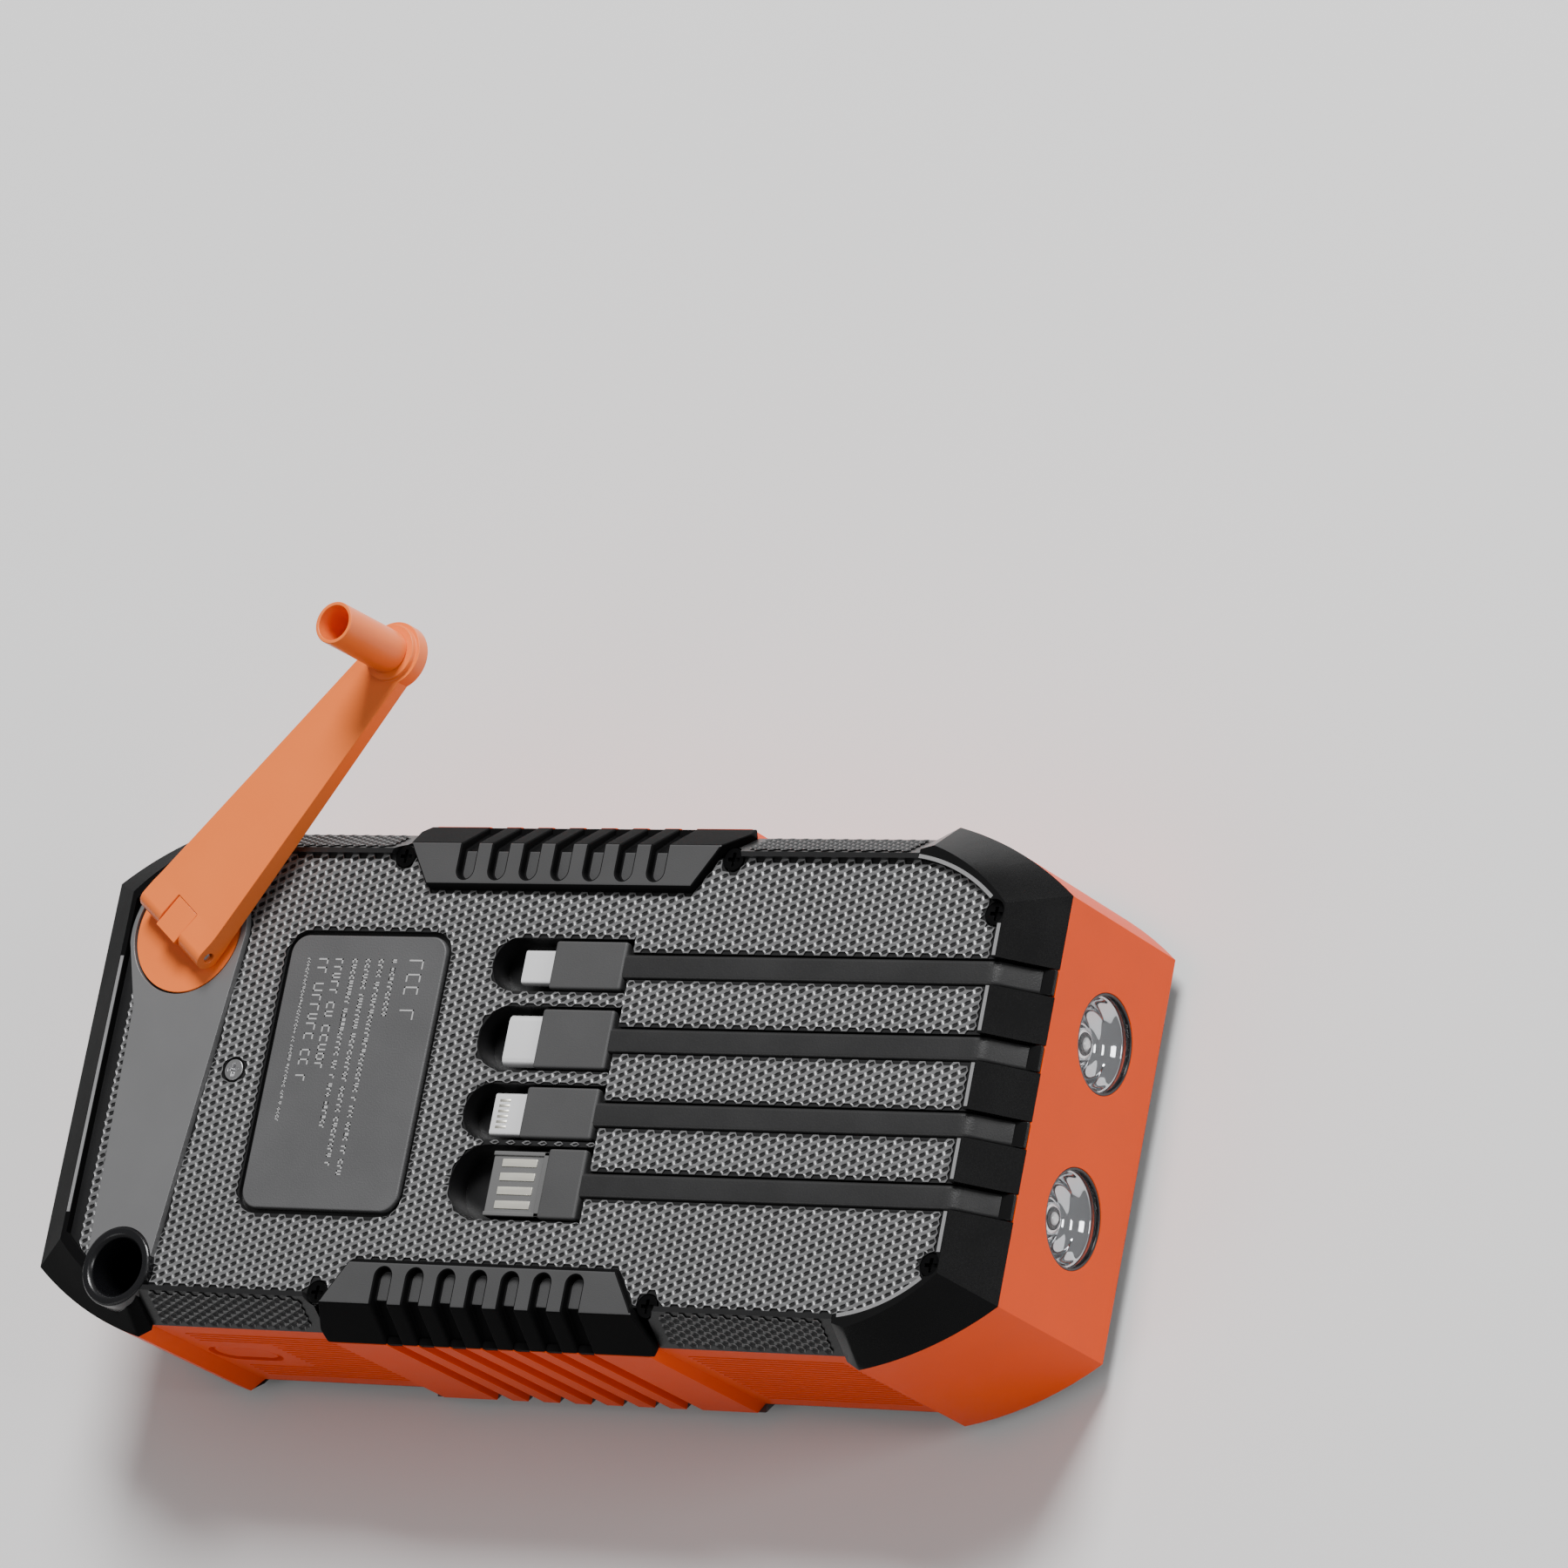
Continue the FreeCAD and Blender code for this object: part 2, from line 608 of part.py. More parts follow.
def panel_outline(extra_len=0.0, extra_wid=0.0):
    return rounded_case(dim.panel_half_len + extra_len, dim.panel_half_wid + extra_wid,
                        dim.corner_x, dim.panel_end_flat, dim.panel_round)


def make_panel():
    clear = Body("clear")
    clear.pad("XY", 0, 0.5, panel_outline())
    node("panel_cover", clear.body)
    back = Body("back")
    back.pad("XY", 0.8, 1.4, panel_outline())
    lights = [(dim.led_x, dim.green_y, 1.2)]
    lights += [(dim.led_x, dim.blue_y - dim.blue_pitch * n, 1.2) for n in range(4)]
    back.pocket("XY", 2.2, 1.4, *lights)
    node("panel_backing", back.body)
    ring = Body("ring")
    ring.pad("XY", -0.3, 1.0, panel_outline(2.7, 1.2))
    ring.pocket("XY", 0.7, 1.0, panel_outline(0.3, 0.25))
    node("trim_ring", ring.body)
    cells = []
    for row in range(10):
        low = dim.first_cell + dim.cell_pitch * row
        for side in SIDES:
            near, far = dim.cell_gap * 0.5, dim.cell_gap * 0.5 + dim.cell_wid
            ys = (near, far) if side > 0 else (-far, -near)
            cells.append(box(f"cell_{row}_{side + 2}", (low, low + dim.cell_len), ys, (0.5, 0.8)))
    node("solar_cells", group(*cells))
    node("status_led_green", rod("green_led", 1.0, (dim.led_x, dim.green_y, 0.5), 1.8))
    blues = [rod(f"blue_led_{n}", 1.0, (dim.led_x, dim.blue_y - dim.blue_pitch * n, 0.5), 1.8)
             for n in range(4)]
    node("status_leds_blue", group(*blues))
    node("led_board", box("led_strip", (-75.8, -70.8), (-25.8, 22.2), (2.35, 3.3)))


# ---- pieces on the back ------------------------------------------------------------------------

def make_back_pieces():
    hub = (dim.hub_x, dim.hub_y, dim.hub_rad + 0.35)
    seat = Body("seat")
    around = Bow(11.4)
    seat.pad("XY", dim.deck, 1.2, [
        (-75.1, -30), (-62.9, -31), (-57.6, 20), around, (dim.hub_x, dim.hub_y + 11.2), around,
        (-79.6, 20), (-76.4, 9.7)])
    seat.pocket("XY", dim.back_rim, 1.2, hub,
                (dim.pocket_x, dim.pocket_y, dim.pocket_ring + 0.02))
    node("crank_seat", seat.body)
    pocket = Body("pocket")
    pocket.turn("XZ", 0, [
        (0, 20), (dim.pocket_cup, 20), (dim.pocket_cup, 34.1), (dim.pocket_ring, 34.1),
        (dim.pocket_ring, 40.0), (dim.pocket_ring - 0.3, 40.3), (5.2, 40.3),
        (dim.pocket_bore, 39.7), (dim.pocket_bore, 21.2), (0, 21.2)])
    place(pocket.body, dim.pocket_x, dim.pocket_y, 0)
    node("grip_pocket", pocket.body)
    label = Body("label")
    label.pad("XY", dim.deck - 0.9, 1.3, rounded((-48.5, -19.0), (-22.0, 22.0), 3.0))
    node("label_plate", label.body)


def screw(name, x, y, head_z, head_rad, shank_rad, length):
    """Pan-head screw with a cross recess, standing head up."""
    body = Body(name)
    low = head_z - length
    body.pad("XY", low, length, (0, 0, shank_rad))
    body.pad("XY", head_z, 1.1, (0, 0, head_rad))
    arm, half = head_rad * 0.62, head_rad * 0.16
    body.pocket("XY", head_z + 1.1, 0.7, [
        (half, half), (half, arm), (-half, arm), (-half, half), (-arm, half), (-arm, -half),
        (-half, -half), (-half, -arm), (half, -arm), (half, -half), (arm, -half), (arm, half)])
    return place(body.body, x, y, 0)


def make_screws():
    screws = [screw(f"case_screw_{n}", x, y, 37.85, 1.75, 0.72, 11.5)
              for n, (x, y) in enumerate(screw_places())]
    node("case_screws", group(*screws))
    node("gearbox_screw", screw("gearbox_screw_0", dim.plate_screw_x, 0, 37.85, 1.7, 0.9, 7.0))


# ---- crank -------------------------------------------------------------------------------------

def hub_place(thing, z=0, tilt=False):
    """Turn a piece to the arm's azimuth about the hub; a tilted piece starts at the hinge pin."""
    pitch = -dim.rise.value if tilt else 0.0
    return place(thing, dim.hub_x, dim.hub_y, z, yaw=dim.azimuth.value, pitch=pitch)


def make_crank_hub():
    hub = Body("hub")
    hub.pad("XY", 38.95, 0.8, (0, 0, dim.hub_rad))
    hub.pad("XY", 35.1, 3.9, (0, 0, 4.0))
    hub.pad("XY", 28.2, 6.95, (0, 0, 2.5))
    top = dim.pin_z + dim.arm_thick
    hub.pad("XZ", -2.6, 5.2, [
        (-dim.barrel, 39.7), (3.25, 39.7), Bow(dim.tongue_rad), (3.68, top),
        (-dim.barrel, top)])
    hub.pad("XY", 39.7, 0.7, rectangle((4.0, 8.0), (-5.4, 5.4)))
    hub.pocket("XZ", 3, 6, (0, dim.pin_z, dim.pin_rad))
    node("crank_hub", hub_place(hub.body))
    pin = rod("hinge_rod", dim.pin_rad, (0, -7.3, 0), 14.6, "Y")
    node("hinge_pin", hub_place(group(pin), dim.pin_z))


def make_crank_arm():
    plan = Body("arm_plan")
    tip = dim.throw + dim.arm_end
    end_x = dim.throw - 2.42
    plan.pad("XY", -4, 8, [
        (-dim.barrel, -dim.arm_root), (2.5, -dim.arm_root), (end_x, -dim.arm_tip),
        Bow(dim.arm_end), (tip, 0), Bow(dim.arm_end), (end_x, dim.arm_tip),
        (2.5, dim.arm_root), (-dim.barrel, dim.arm_root)])
    side = Body("arm_side")
    round_end = Bow(dim.barrel)
    side.pad("XZ", 0, 30, [
        (0, -dim.barrel), (4, -dim.arm_thick), (62, -1.1), (62, 1.1), (4, dim.arm_thick),
        (0, dim.barrel), round_end, (-dim.barrel, 0), round_end], both=True)
    blank = common(plan.body, side.body)
    slot = box("arm_slot", (-4, 1), (-2.75, 2.75), (-4, 4))
    slot_end = rod("arm_slot_end", dim.slot_rad, (0, -2.75, 0), 5.5, "Y")
    bore = rod("arm_bore", dim.pin_rad + dim.fit, (0, -12, 0), 24, "Y")
    collar = rod("arm_collar", 4.5, (dim.throw, 0, 0), 2.0)
    seat = rod("arm_axle_hole", 1.2, (dim.throw, 0, -3), 8)
    arm = cut(fuse(cut(blank, slot, slot_end, bore), collar), seat)
    node("crank_arm", hub_place(group(arm), dim.pin_z, tilt=True))


def make_grip():
    axle = Body("axle")
    axle.pad("XY", -1.1, 6.3, (dim.throw, 0, 1.2))
    axle.pad("XY", 5.2, 1.2, (dim.throw, 0, 2.1))
    node("grip_axle", hub_place(group(axle.body), dim.pin_z, tilt=True))
    tube = Body("tube")
    tube.pad("XY", 2.1, dim.grip_len, (dim.throw, 0, dim.grip_rad))
    tube.pocket("XY", dim.grip_len + 2.1, dim.grip_len - 3.0, (dim.throw, 0, dim.grip_bore))
    tube.pocket("XY", 6, 6, (dim.throw, 0, 1.2 + dim.fit))
    node("crank_grip", hub_place(group(tube.body), dim.pin_z, tilt=True))


# ---- gear train and generator ------------------------------------------------------------------

def gear_shape(teeth, thick):
    """Involute spur gear, first tooth on the X axis."""
    builder = fcgear.FCWireBuilder()
    involute.CreateExternalGear(builder, dim.module.value, teeth, 20.0, False)
    wire = Part.Wire([edge.toShape() for edge in builder.wire])
    return Part.Face(wire).extrude(FreeCAD.Vector(0, 0, thick))


def round_bar(radius, low, high):
    return Part.makeCylinder(radius, high - low, FreeCAD.Vector(0, 0, low))


def raised(shape, z):
    shape.translate(FreeCAD.Vector(0, 0, z))
    return shape


def gear_feature(name, shape, x, y, angle):
    feature = doc.addObject("Part::Feature", name)
    feature.Shape = shape
    feature.Placement = FreeCAD.Placement(FreeCAD.Vector(x, y, 0),
                                          FreeCAD.Rotation(angle, 0, 0))
    return node(name, feature)


def meshed(x, y, heading, first, second):
    """Centre of a gear in mesh with one at x, y, that way round from it in degrees."""
    teeth = GEAR_TEETH[first] + GEAR_TEETH[second]
    reach = teeth * dim.module.value / 2 + dim.mesh_slack.value
    angle = math.radians(heading)
    return x + reach * math.cos(angle), y + reach * math.sin(angle)


def make_gears():
    """Each gear is turned so that its teeth stand in the gaps of the one before it."""
    hub_x, hub_y = dim.hub_x.value, dim.hub_y.value
    to_idler, to_motor = dim.idler_heading.value, dim.motor_heading.value
    idler_x, idler_y = meshed(hub_x, hub_y, to_idler, "crank", "idler_small")
    motor_x, motor_y = meshed(idler_x, idler_y, to_motor, "idler_large", "motor")
    crank = raised(gear_shape(GEAR_TEETH["crank"], 2.4), 32.5)
    crank = crank.fuse(round_bar(3.6, 32.0, 32.6)).cut(round_bar(2.5, 30, 36))
    gear_feature("crank_gear", crank, hub_x, hub_y, to_idler)
    idler = raised(gear_shape(GEAR_TEETH["idler_small"], 3.0), 32.1)
    large = raised(gear_shape(GEAR_TEETH["idler_large"], 1.7), 30.4)
    small_turn = to_idler + 180 + 180 / GEAR_TEETH["idler_small"]
    large.rotate(FreeCAD.Vector(), FreeCAD.Vector(0, 0, 1), to_motor - small_turn)
    idler = idler.fuse(large).cut(round_bar(1.2 + dim.fit.value, 28, 37))
    gear_feature("idler_gear", idler, idler_x, idler_y, small_turn)
    pinion = raised(gear_shape(GEAR_TEETH["motor"], 2.2), 30.2)
    shaft = round_bar(1.0, 26.4, 32.8)
    gear_feature("motor_pinion", pinion.fuse(shaft), motor_x, motor_y,
                 to_motor + 180 + 180 / GEAR_TEETH["motor"])
    return (idler_x, idler_y), (motor_x, motor_y)


def make_generator(idler, motor):
    node("idler_axle", rod("axle_pin", 1.2, (*idler, 28.0), 8.35))
    can = Body("can")
    can.pad("XY", 13.2, 14.8, (0, 0, dim.motor_rad))
    can.pocket("XY", 28.0, 1.8, (0, 0, 1.05))
    node("generator_motor", place(can.body, motor[0], motor[1], 0))
    plate = Body("plate")
    plate.pad("XY", 28.0, 1.6, [(-79, 14), (-60, -5), (-41.5, -5), (-41.5, 15), (-52, 31),
                                (-76, 31)])
    plate.pad("XY", 29.6, 6.8, (dim.plate_screw_x, 0, 2.4), (-52, 28.5, 2.4))
    plate.pocket("XY", 36.4, 9, (motor[0], motor[1], 1.3), (dim.hub_x, dim.hub_y, 2.5 + dim.fit),
                 (idler[0], idler[1], 1.2))
    plate.pocket("XY", 36.4, 6.5, (dim.plate_screw_x, 0, 0.95))
    node("gear_plate", plate.body)


# ---- electronics -------------------------------------------------------------------------------

def make_electronics():
    cells = [box(f"pouch_{n}", (-37, 67.4), (-31, 31), (5.0 + 11.4 * n, 16.0 + 11.4 * n))
             for n in range(2)]
    node("battery_cells", group(*cells))
    frame = Body("frame")
    frame.pad("XY", 3.5, 24.7, rectangle((-38.4, 68.8), (-32.4, 32.4)))
    frame.pocket("XY", 28.2, 23.3, rectangle((-37.2, 67.6), (-31.2, 31.2)))
    frame.pocket("XY", 28.2, 25.2, *[rectangle((x, x + 20), (-24, 24)) for x in (-30, -2, 26)])
    node("battery_frame", frame.body)
    board = Body("board")
    board.pad("XY", 8.0, 1.6, rectangle((-84.4, -40.5), (-27, 27)))
    node("main_board", board.body)
    sockets = []
    mouth = -dim.half_len + 2.6
    for n, y in enumerate((12.4, -3.2)):
        socket = Body(f"usb_a_{n}")
        socket.pad("YZ", mouth, 14, rectangle((y - 7.1, y + 7.1), (9.6, 16.7)))
        socket.pocket("YZ", mouth, 12, rectangle((y - 6.3, y + 6.3), (10.4, 15.8)), along=True)
        socket.pad("YZ", mouth + 1, 12, rectangle((y - 5.6, y + 5.6), (11.4, 13.4)))
        sockets.append(socket.body)
    node("usb_a_sockets", group(*sockets))
    socket = Body("usb_c")
    socket.pad("YZ", mouth, 8, pill(-15.6, 11.25, 4.5, 1.65))
    socket.pocket("YZ", mouth, 6.5, pill(-15.6, 11.25, 4.15, 1.3), along=True)
    socket.pad("YZ", mouth + 0.5, 7, rectangle((-18.6, -12.6), (10.9, 11.6)))
    node("usb_c_socket", socket.body)
    node("switch_board", box("button_board", (-63.0, -51.4), (-30.2, -28.8), (12, 26)))
    switch = Body("switch")
    switch.pad("XZ", 30.2, 3.2, rectangle((-60.2, -54.2), (dim.mid_z - 3, dim.mid_z + 3)))
    switch.pad("XZ", 33.4, 1.0, (dim.button_x, dim.mid_z, 1.6))
    node("tact_switch", switch.body)


def make_lamps():
    cups, lenses, lights = [], [], []
    for side in SIDES:
        cup = Body(f"cup_{side + 2}")
        cup.turn("XZ", 0, [
            (82.8, 1.9), (83.3, 1.9), (84.0, 4.0), (85.2, 6.0), (87.2, 7.1), (87.2, 7.6),
            (85.0, 7.6), (84.0, 6.6), (83.2, 4.8), (82.8, 3.4)], axis="H_Axis")
        place(cup.body, 0, dim.lamp_y * side, dim.lamp_z)
        cups.append(cup.body)
        lenses.append(rod(f"lens_{side + 2}", dim.lamp_rad,
                          (87.3, dim.lamp_y * side, dim.lamp_z), 1.0, "X"))
        light = Body(f"light_{side + 2}")
        light.turn("XZ", 0, [(82.0, 0), (84.9, 0), Bow(1.5), (83.4, 1.5), (82.0, 1.5)],
                   axis="H_Axis")
        place(light.body, 0, dim.lamp_y * side, dim.lamp_z)
        lights.append(light.body)
    node("lamp_reflectors", group(*cups))
    node("lamp_lenses", group(*lenses))
    node("lamp_leds", group(*lights))
    board = Body("lamp_plate")
    board.pad("YZ", 80.4, 1.6, rectangle((-23, 23), (9, 27)))
    node("lamp_board", board.body)


# ---- button and port cover ---------------------------------------------------------------------

def make_button():
    cap = Body("cap")
    cap.pad("XZ", 37.2, 2.6, pill(dim.button_x, dim.mid_z, 5.7, 2.7))
    cap.pad("XZ", 36.9, 1.0, pill(dim.button_x, dim.mid_z, 6.6, 3.6))
    cap.pad("XZ", 35.3, 1.8, (dim.button_x, dim.mid_z, 1.2))
    node("power_button", cap.body)


def make_port_cover():
    flap = Body("flap")
    flap.pad("YZ", -dim.half_len, 1.5, rectangle((-dim.flap_half, dim.flap_half - 0.1),
                                                 (6.5, 30.9)))
    flap.pad("YZ", -dim.half_len + 1.5, 0.8,
             rectangle((-dim.port_half + 0.6, dim.port_half - 0.6), (9.7, 16.9)))
    flap.pocket("YZ", -dim.half_len, 0.5, rectangle((-18.6, -14.6), (8.5, 28.9)), along=True)
    clears = box("flap_clear", (-87.0, -84), (-19.0, 19.0), (10.1, 16.5))
    node("port_cover", cut(flap.body, clears))


# ---- leads -------------------------------------------------------------------------------------

def make_leads():
    """Each strap is fixed where it comes over the lamp end, and lifts from there with its plug."""
    roots = []
    half = dim.strap_wid * 0.5
    low = dim.strap_top - dim.strap_thick
    for number, lead in LEADS.items():
        root = Body(f"root_{number}")
        root.pad("XZ", -half - lead["y"], dim.strap_wid, [
            (dim.bend_x + 0.3, low), (80.05, low), (82.05, 35.7), (78.6, 35.7), (78.6, 34.1),
            (86.65, 34.1), (80.6, dim.strap_top), (dim.bend_x + 0.3, dim.strap_top)])
        roots.append(root.body)
        strap = box(f"strap_{number}", (dim.plug_back, dim.bend_x - 0.3),
                    (-half + lead["y"], half + lead["y"]), (low, dim.strap_top))
        node(f"lead_{number}_strap", strap)
        width, height, tip_end = lead["tip"]
        wide = lead["plug"] / 2
        plug = Body(f"plug_{number}")
        plug.pad("XY", dim.plug_low, dim.plug_top - dim.plug_low,
                 rectangle((dim.plug_front, dim.plug_back),
                           (lead["y"] - wide, lead["y"] + wide)))
        node(f"lead_{number}_plug", plug.body)
        tip = Body(f"tip_{number}")
        mid = (dim.plug_low + dim.plug_top) * 0.5
        loop = rectangle((lead["y"] - width / 2, lead["y"] + width / 2),
                         (mid - height / 2, mid + height / 2))
        tip.pad("YZ", tip_end, dim.plug_front - tip_end, loop)
        node(f"lead_{number}_tip", tip.body)
    node("lead_roots", group(*roots))


# ---- the whole charger -------------------------------------------------------------------------

def check_document():
    """Stop at anything that failed, is empty, or cut nothing."""
    doc.recompute()
    for thing in doc.Objects:
        if "Invalid" in thing.State or "Error" in thing.State:
            raise RuntimeError(f"{thing.Label} failed: {thing.State}")
        if thing.TypeId == "PartDesign::Pocket":
            if thing.Shape.Volume >= thing.BaseFeature.Shape.Volume - 1e-6:
                raise RuntimeError(f"{thing.Label} in {thing.Profile[0].Label} cuts nothing")
    for name, thing in nodes.items():
        if thing.Shape.isNull() or not thing.Shape.isValid() or not thing.Shape.Solids:
            raise RuntimeError(f"{name} has no valid solid")


def main():
    make_mid_band()
    make_rear_cover()
    make_rear_bumpers()
    make_rear_grips()
    make_front_bezel()
    make_front_guards()
    make_front_grips()
    make_panel()
    make_back_pieces()
    make_screws()
    make_crank_hub()
    make_crank_arm()
    make_grip()
    idler, motor = make_gears()
    make_generator(idler, motor)
    make_electronics()
    make_lamps()
    make_button()
    make_port_cover()
    make_leads()
    check_document()
    os.makedirs("parts", exist_ok=True)
    for name, thing in nodes.items():
        thing.Shape.exportStep(f"parts/{name}.step")
        print(name, len(thing.Shape.Solids), "solids", round(thing.Shape.Volume, 1), "mm3")
    print(len(nodes), "nodes")


main()
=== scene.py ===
import json
import math
import random

import bmesh
import bpy
from mathutils import Matrix, Vector
from mathutils.bvhtree import BVHTree

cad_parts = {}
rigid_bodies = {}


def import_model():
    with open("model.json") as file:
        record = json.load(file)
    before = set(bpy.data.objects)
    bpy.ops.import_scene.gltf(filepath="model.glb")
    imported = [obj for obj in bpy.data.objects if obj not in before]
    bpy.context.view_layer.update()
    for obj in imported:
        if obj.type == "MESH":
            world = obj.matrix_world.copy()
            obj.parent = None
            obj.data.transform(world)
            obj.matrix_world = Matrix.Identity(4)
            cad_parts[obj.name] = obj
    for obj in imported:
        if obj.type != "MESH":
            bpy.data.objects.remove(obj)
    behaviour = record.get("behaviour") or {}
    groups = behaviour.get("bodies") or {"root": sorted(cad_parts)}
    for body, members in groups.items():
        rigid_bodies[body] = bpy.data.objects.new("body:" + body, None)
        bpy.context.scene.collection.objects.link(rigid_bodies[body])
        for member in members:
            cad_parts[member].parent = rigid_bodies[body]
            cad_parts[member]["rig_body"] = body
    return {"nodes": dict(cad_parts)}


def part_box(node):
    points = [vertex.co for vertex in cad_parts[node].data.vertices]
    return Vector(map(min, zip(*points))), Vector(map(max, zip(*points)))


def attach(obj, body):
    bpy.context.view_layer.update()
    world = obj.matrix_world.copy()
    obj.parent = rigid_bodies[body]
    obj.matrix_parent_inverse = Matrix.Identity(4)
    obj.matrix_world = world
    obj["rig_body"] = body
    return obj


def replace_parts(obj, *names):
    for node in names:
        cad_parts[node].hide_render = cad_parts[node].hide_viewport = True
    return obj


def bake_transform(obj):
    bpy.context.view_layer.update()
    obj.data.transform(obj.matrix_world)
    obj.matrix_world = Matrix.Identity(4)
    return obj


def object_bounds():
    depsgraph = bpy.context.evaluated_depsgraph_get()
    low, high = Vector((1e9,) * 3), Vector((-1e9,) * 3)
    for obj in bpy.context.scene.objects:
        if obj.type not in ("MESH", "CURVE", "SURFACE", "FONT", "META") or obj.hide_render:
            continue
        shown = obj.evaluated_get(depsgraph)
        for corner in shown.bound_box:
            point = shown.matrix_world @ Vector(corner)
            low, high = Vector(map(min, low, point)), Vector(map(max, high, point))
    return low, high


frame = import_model()
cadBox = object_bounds()
nodes = frame["nodes"]
mm = 0.001
print("frame loaded:", len(nodes), "nodes")


class Wire:  # a socket that can stand in a sum
    def __init__(self, finish, socket):
        self.finish = finish
        self.socket = socket

    def maths(self, operation, first, second=0.0):
        return self.finish.add("ShaderNodeMath", {"operation": operation}, {0: first, 1: second})

    def __add__(self, other):
        return self.maths("ADD", self, other)

    __radd__ = __add__

    def __sub__(self, other):
        return self.maths("SUBTRACT", self, other)

    def __rsub__(self, other):
        return self.maths("SUBTRACT", other, self)

    def __mul__(self, other):
        return self.maths("MULTIPLY", self, other)

    __rmul__ = __mul__


class Finish:  # a material built around one Principled shader
    def __init__(self, name, **surface):
        self.material = bpy.data.materials.new(name)
        self.material.use_nodes = True
        self.tree = self.material.node_tree
        self.tree.nodes.clear()
        self.shader = self.tree.nodes.new("ShaderNodeBsdfPrincipled")
        output = self.tree.nodes.new("ShaderNodeOutputMaterial")
        self.tree.links.new(self.shader.outputs[0], output.inputs["Surface"])
        for socket, value in surface.items():
            self.shader.inputs[socket.replace("_", " ")].default_value = value
        self.place = self.add("ShaderNodeTexCoord", {}, {}, "Object")

    def add(self, kind, settings, sockets, out=0):
        node = self.tree.nodes.new(kind)
        for key, value in settings.items():
            setattr(node, key, value)
        for key, value in sockets.items():
            self.join(node.inputs[key], value)
        return Wire(self, node.outputs[out])

    def join(self, socket, value):
        if isinstance(value, Wire):
            self.tree.links.new(value.socket, socket)
        else:
            socket.default_value = value

    def feed(self, socket, wire):
        self.join(self.shader.inputs[socket], wire)

    def noise(self, scale, detail=3.0, stretch=None):
        place = self.place
        if stretch:
            place = self.add("ShaderNodeMapping", {}, {"Vector": place, "Scale": stretch})
        return self.add("ShaderNodeTexNoise", {}, {"Vector": place, "Scale": scale,
                                                   "Detail": detail})

    def blend(self, factor, first, second):
        # a Mix node's colours go in at sockets 6 and 7 and come out at 2
        return self.add("ShaderNodeMix", {"data_type": "RGBA"},
                        {0: factor, 6: (*first, 1), 7: (*second, 1)}, 2)

    def bump(self, height, depth):
        normal = self.add("ShaderNodeBump", {}, {"Height": height, "Distance": depth,
                                                 "Strength": 1.0})
        self.feed("Normal", normal)


def scaled(colour, factor):
    return tuple(min(1.0, channel * factor) for channel in colour)


# colour, roughness, size of grain per metre, its depth in metres, how far tone drifts, and extras
mouldings = {
    "orangeShell": ((0.80, 0.066, 0.0), 0.44, 5200, 1.6e-5, 0.10, {"Specular_IOR_Level": 0.15}),
    # the crank's own orange lifted towards the peach of its top face: partly painted sheen
    "crankOrangeAndPaintedSheen": ((1.0, 0.20, 0.035), 0.32, 5200, 1.2e-5, 0.08, {"Specular_IOR_Level": 0.4}),
    "orangeFlap": ((0.64, 0.066, 0.0005), 0.50, 4200, 2.0e-5, 0.10, {"Specular_IOR_Level": 0.3}),
    "blackGloss": ((0.005, 0.005, 0.0052), 0.26, 3200, 6.0e-6, 0.25, {"Specular_IOR_Level": 0.25}),
    "blackDull": ((0.004, 0.004, 0.0042), 0.60, 3200, 6.0e-6, 0.25, {"Specular_IOR_Level": 0.05}),
    # near-white: the torch emitters' own white, and on the plated plug tips a painted reflection
    # standing in for their bright steel
    "whiteAndPaintedReflection": ((0.88, 0.88, 0.89), 0.30, 5200, 4.0e-6, 0.06, {"Metallic": 0.25}),
    "blackShell": ((0.010, 0.010, 0.0105), 0.36, 5200, 2.0e-5, 0.25, {}),
    "gripGrey": ((0.062, 0.062, 0.063), 0.38, 5200, 2.4e-5, 0.20, {}),
    "pocketBlack": ((0.006, 0.006, 0.007), 0.26, 3200, 6.0e-6, 0.25, {}),
    # near-black for the nets' dimples: painted shade in the pits
    "pitPaintedShade": ((0.006, 0.006, 0.0065), 0.55, 5200, 1.0e-5, 0.25, {}),
    "deckWeb": ((0.20, 0.20, 0.203), 0.34, 5200, 8.0e-6, 0.12, {"Metallic": 0.35}),
    # light grey bead along the deck's end edges: a painted highlight
    "rimPaintedHighlight": ((0.34, 0.34, 0.345), 0.28, 5200, 6.0e-6, 0.10, {"Metallic": 0.4}),
    "chamferWeb": ((0.026, 0.026, 0.027), 0.30, 5200, 8.0e-6, 0.25, {"Coat_Weight": 0.2}),
    "seatGrey": ((0.20, 0.20, 0.203), 0.33, 6200, 8.0e-6, 0.08, {"Metallic": 0.35}),
    "labelPlate": ((0.085, 0.085, 0.087), 0.50, 3800, 4.5e-5, 0.25, {}),
    "labelPrint": ((0.42, 0.42, 0.42), 0.55, 5200, 8.0e-6, 0.10, {}),
    "strapRubber": ((0.024, 0.024, 0.0245), 0.36, 4200, 3.0e-5, 0.35, {"Specular_IOR_Level": 0.4}),
    "plugGrey": ((0.066, 0.066, 0.067), 0.50, 6200, 2.4e-5, 0.16, {"Specular_IOR_Level": 0.35}),
    "plugTongue": ((0.13, 0.13, 0.13), 0.50, 6200, 1.2e-5, 0.12, {}),
    "panelBlack": ((0.008, 0.008, 0.010), 0.30, 5200, 4.0e-6, 0.20, {}),
    "frameBlack": ((0.030, 0.030, 0.031), 0.50, 4200, 2.0e-5, 0.20, {}),
    "gearNylon": ((0.72, 0.70, 0.64), 0.42, 4200, 1.2e-5, 0.06, {}),
    "switchBlack": ((0.02, 0.02, 0.02), 0.45, 4200, 1.2e-5, 0.20, {}),
}

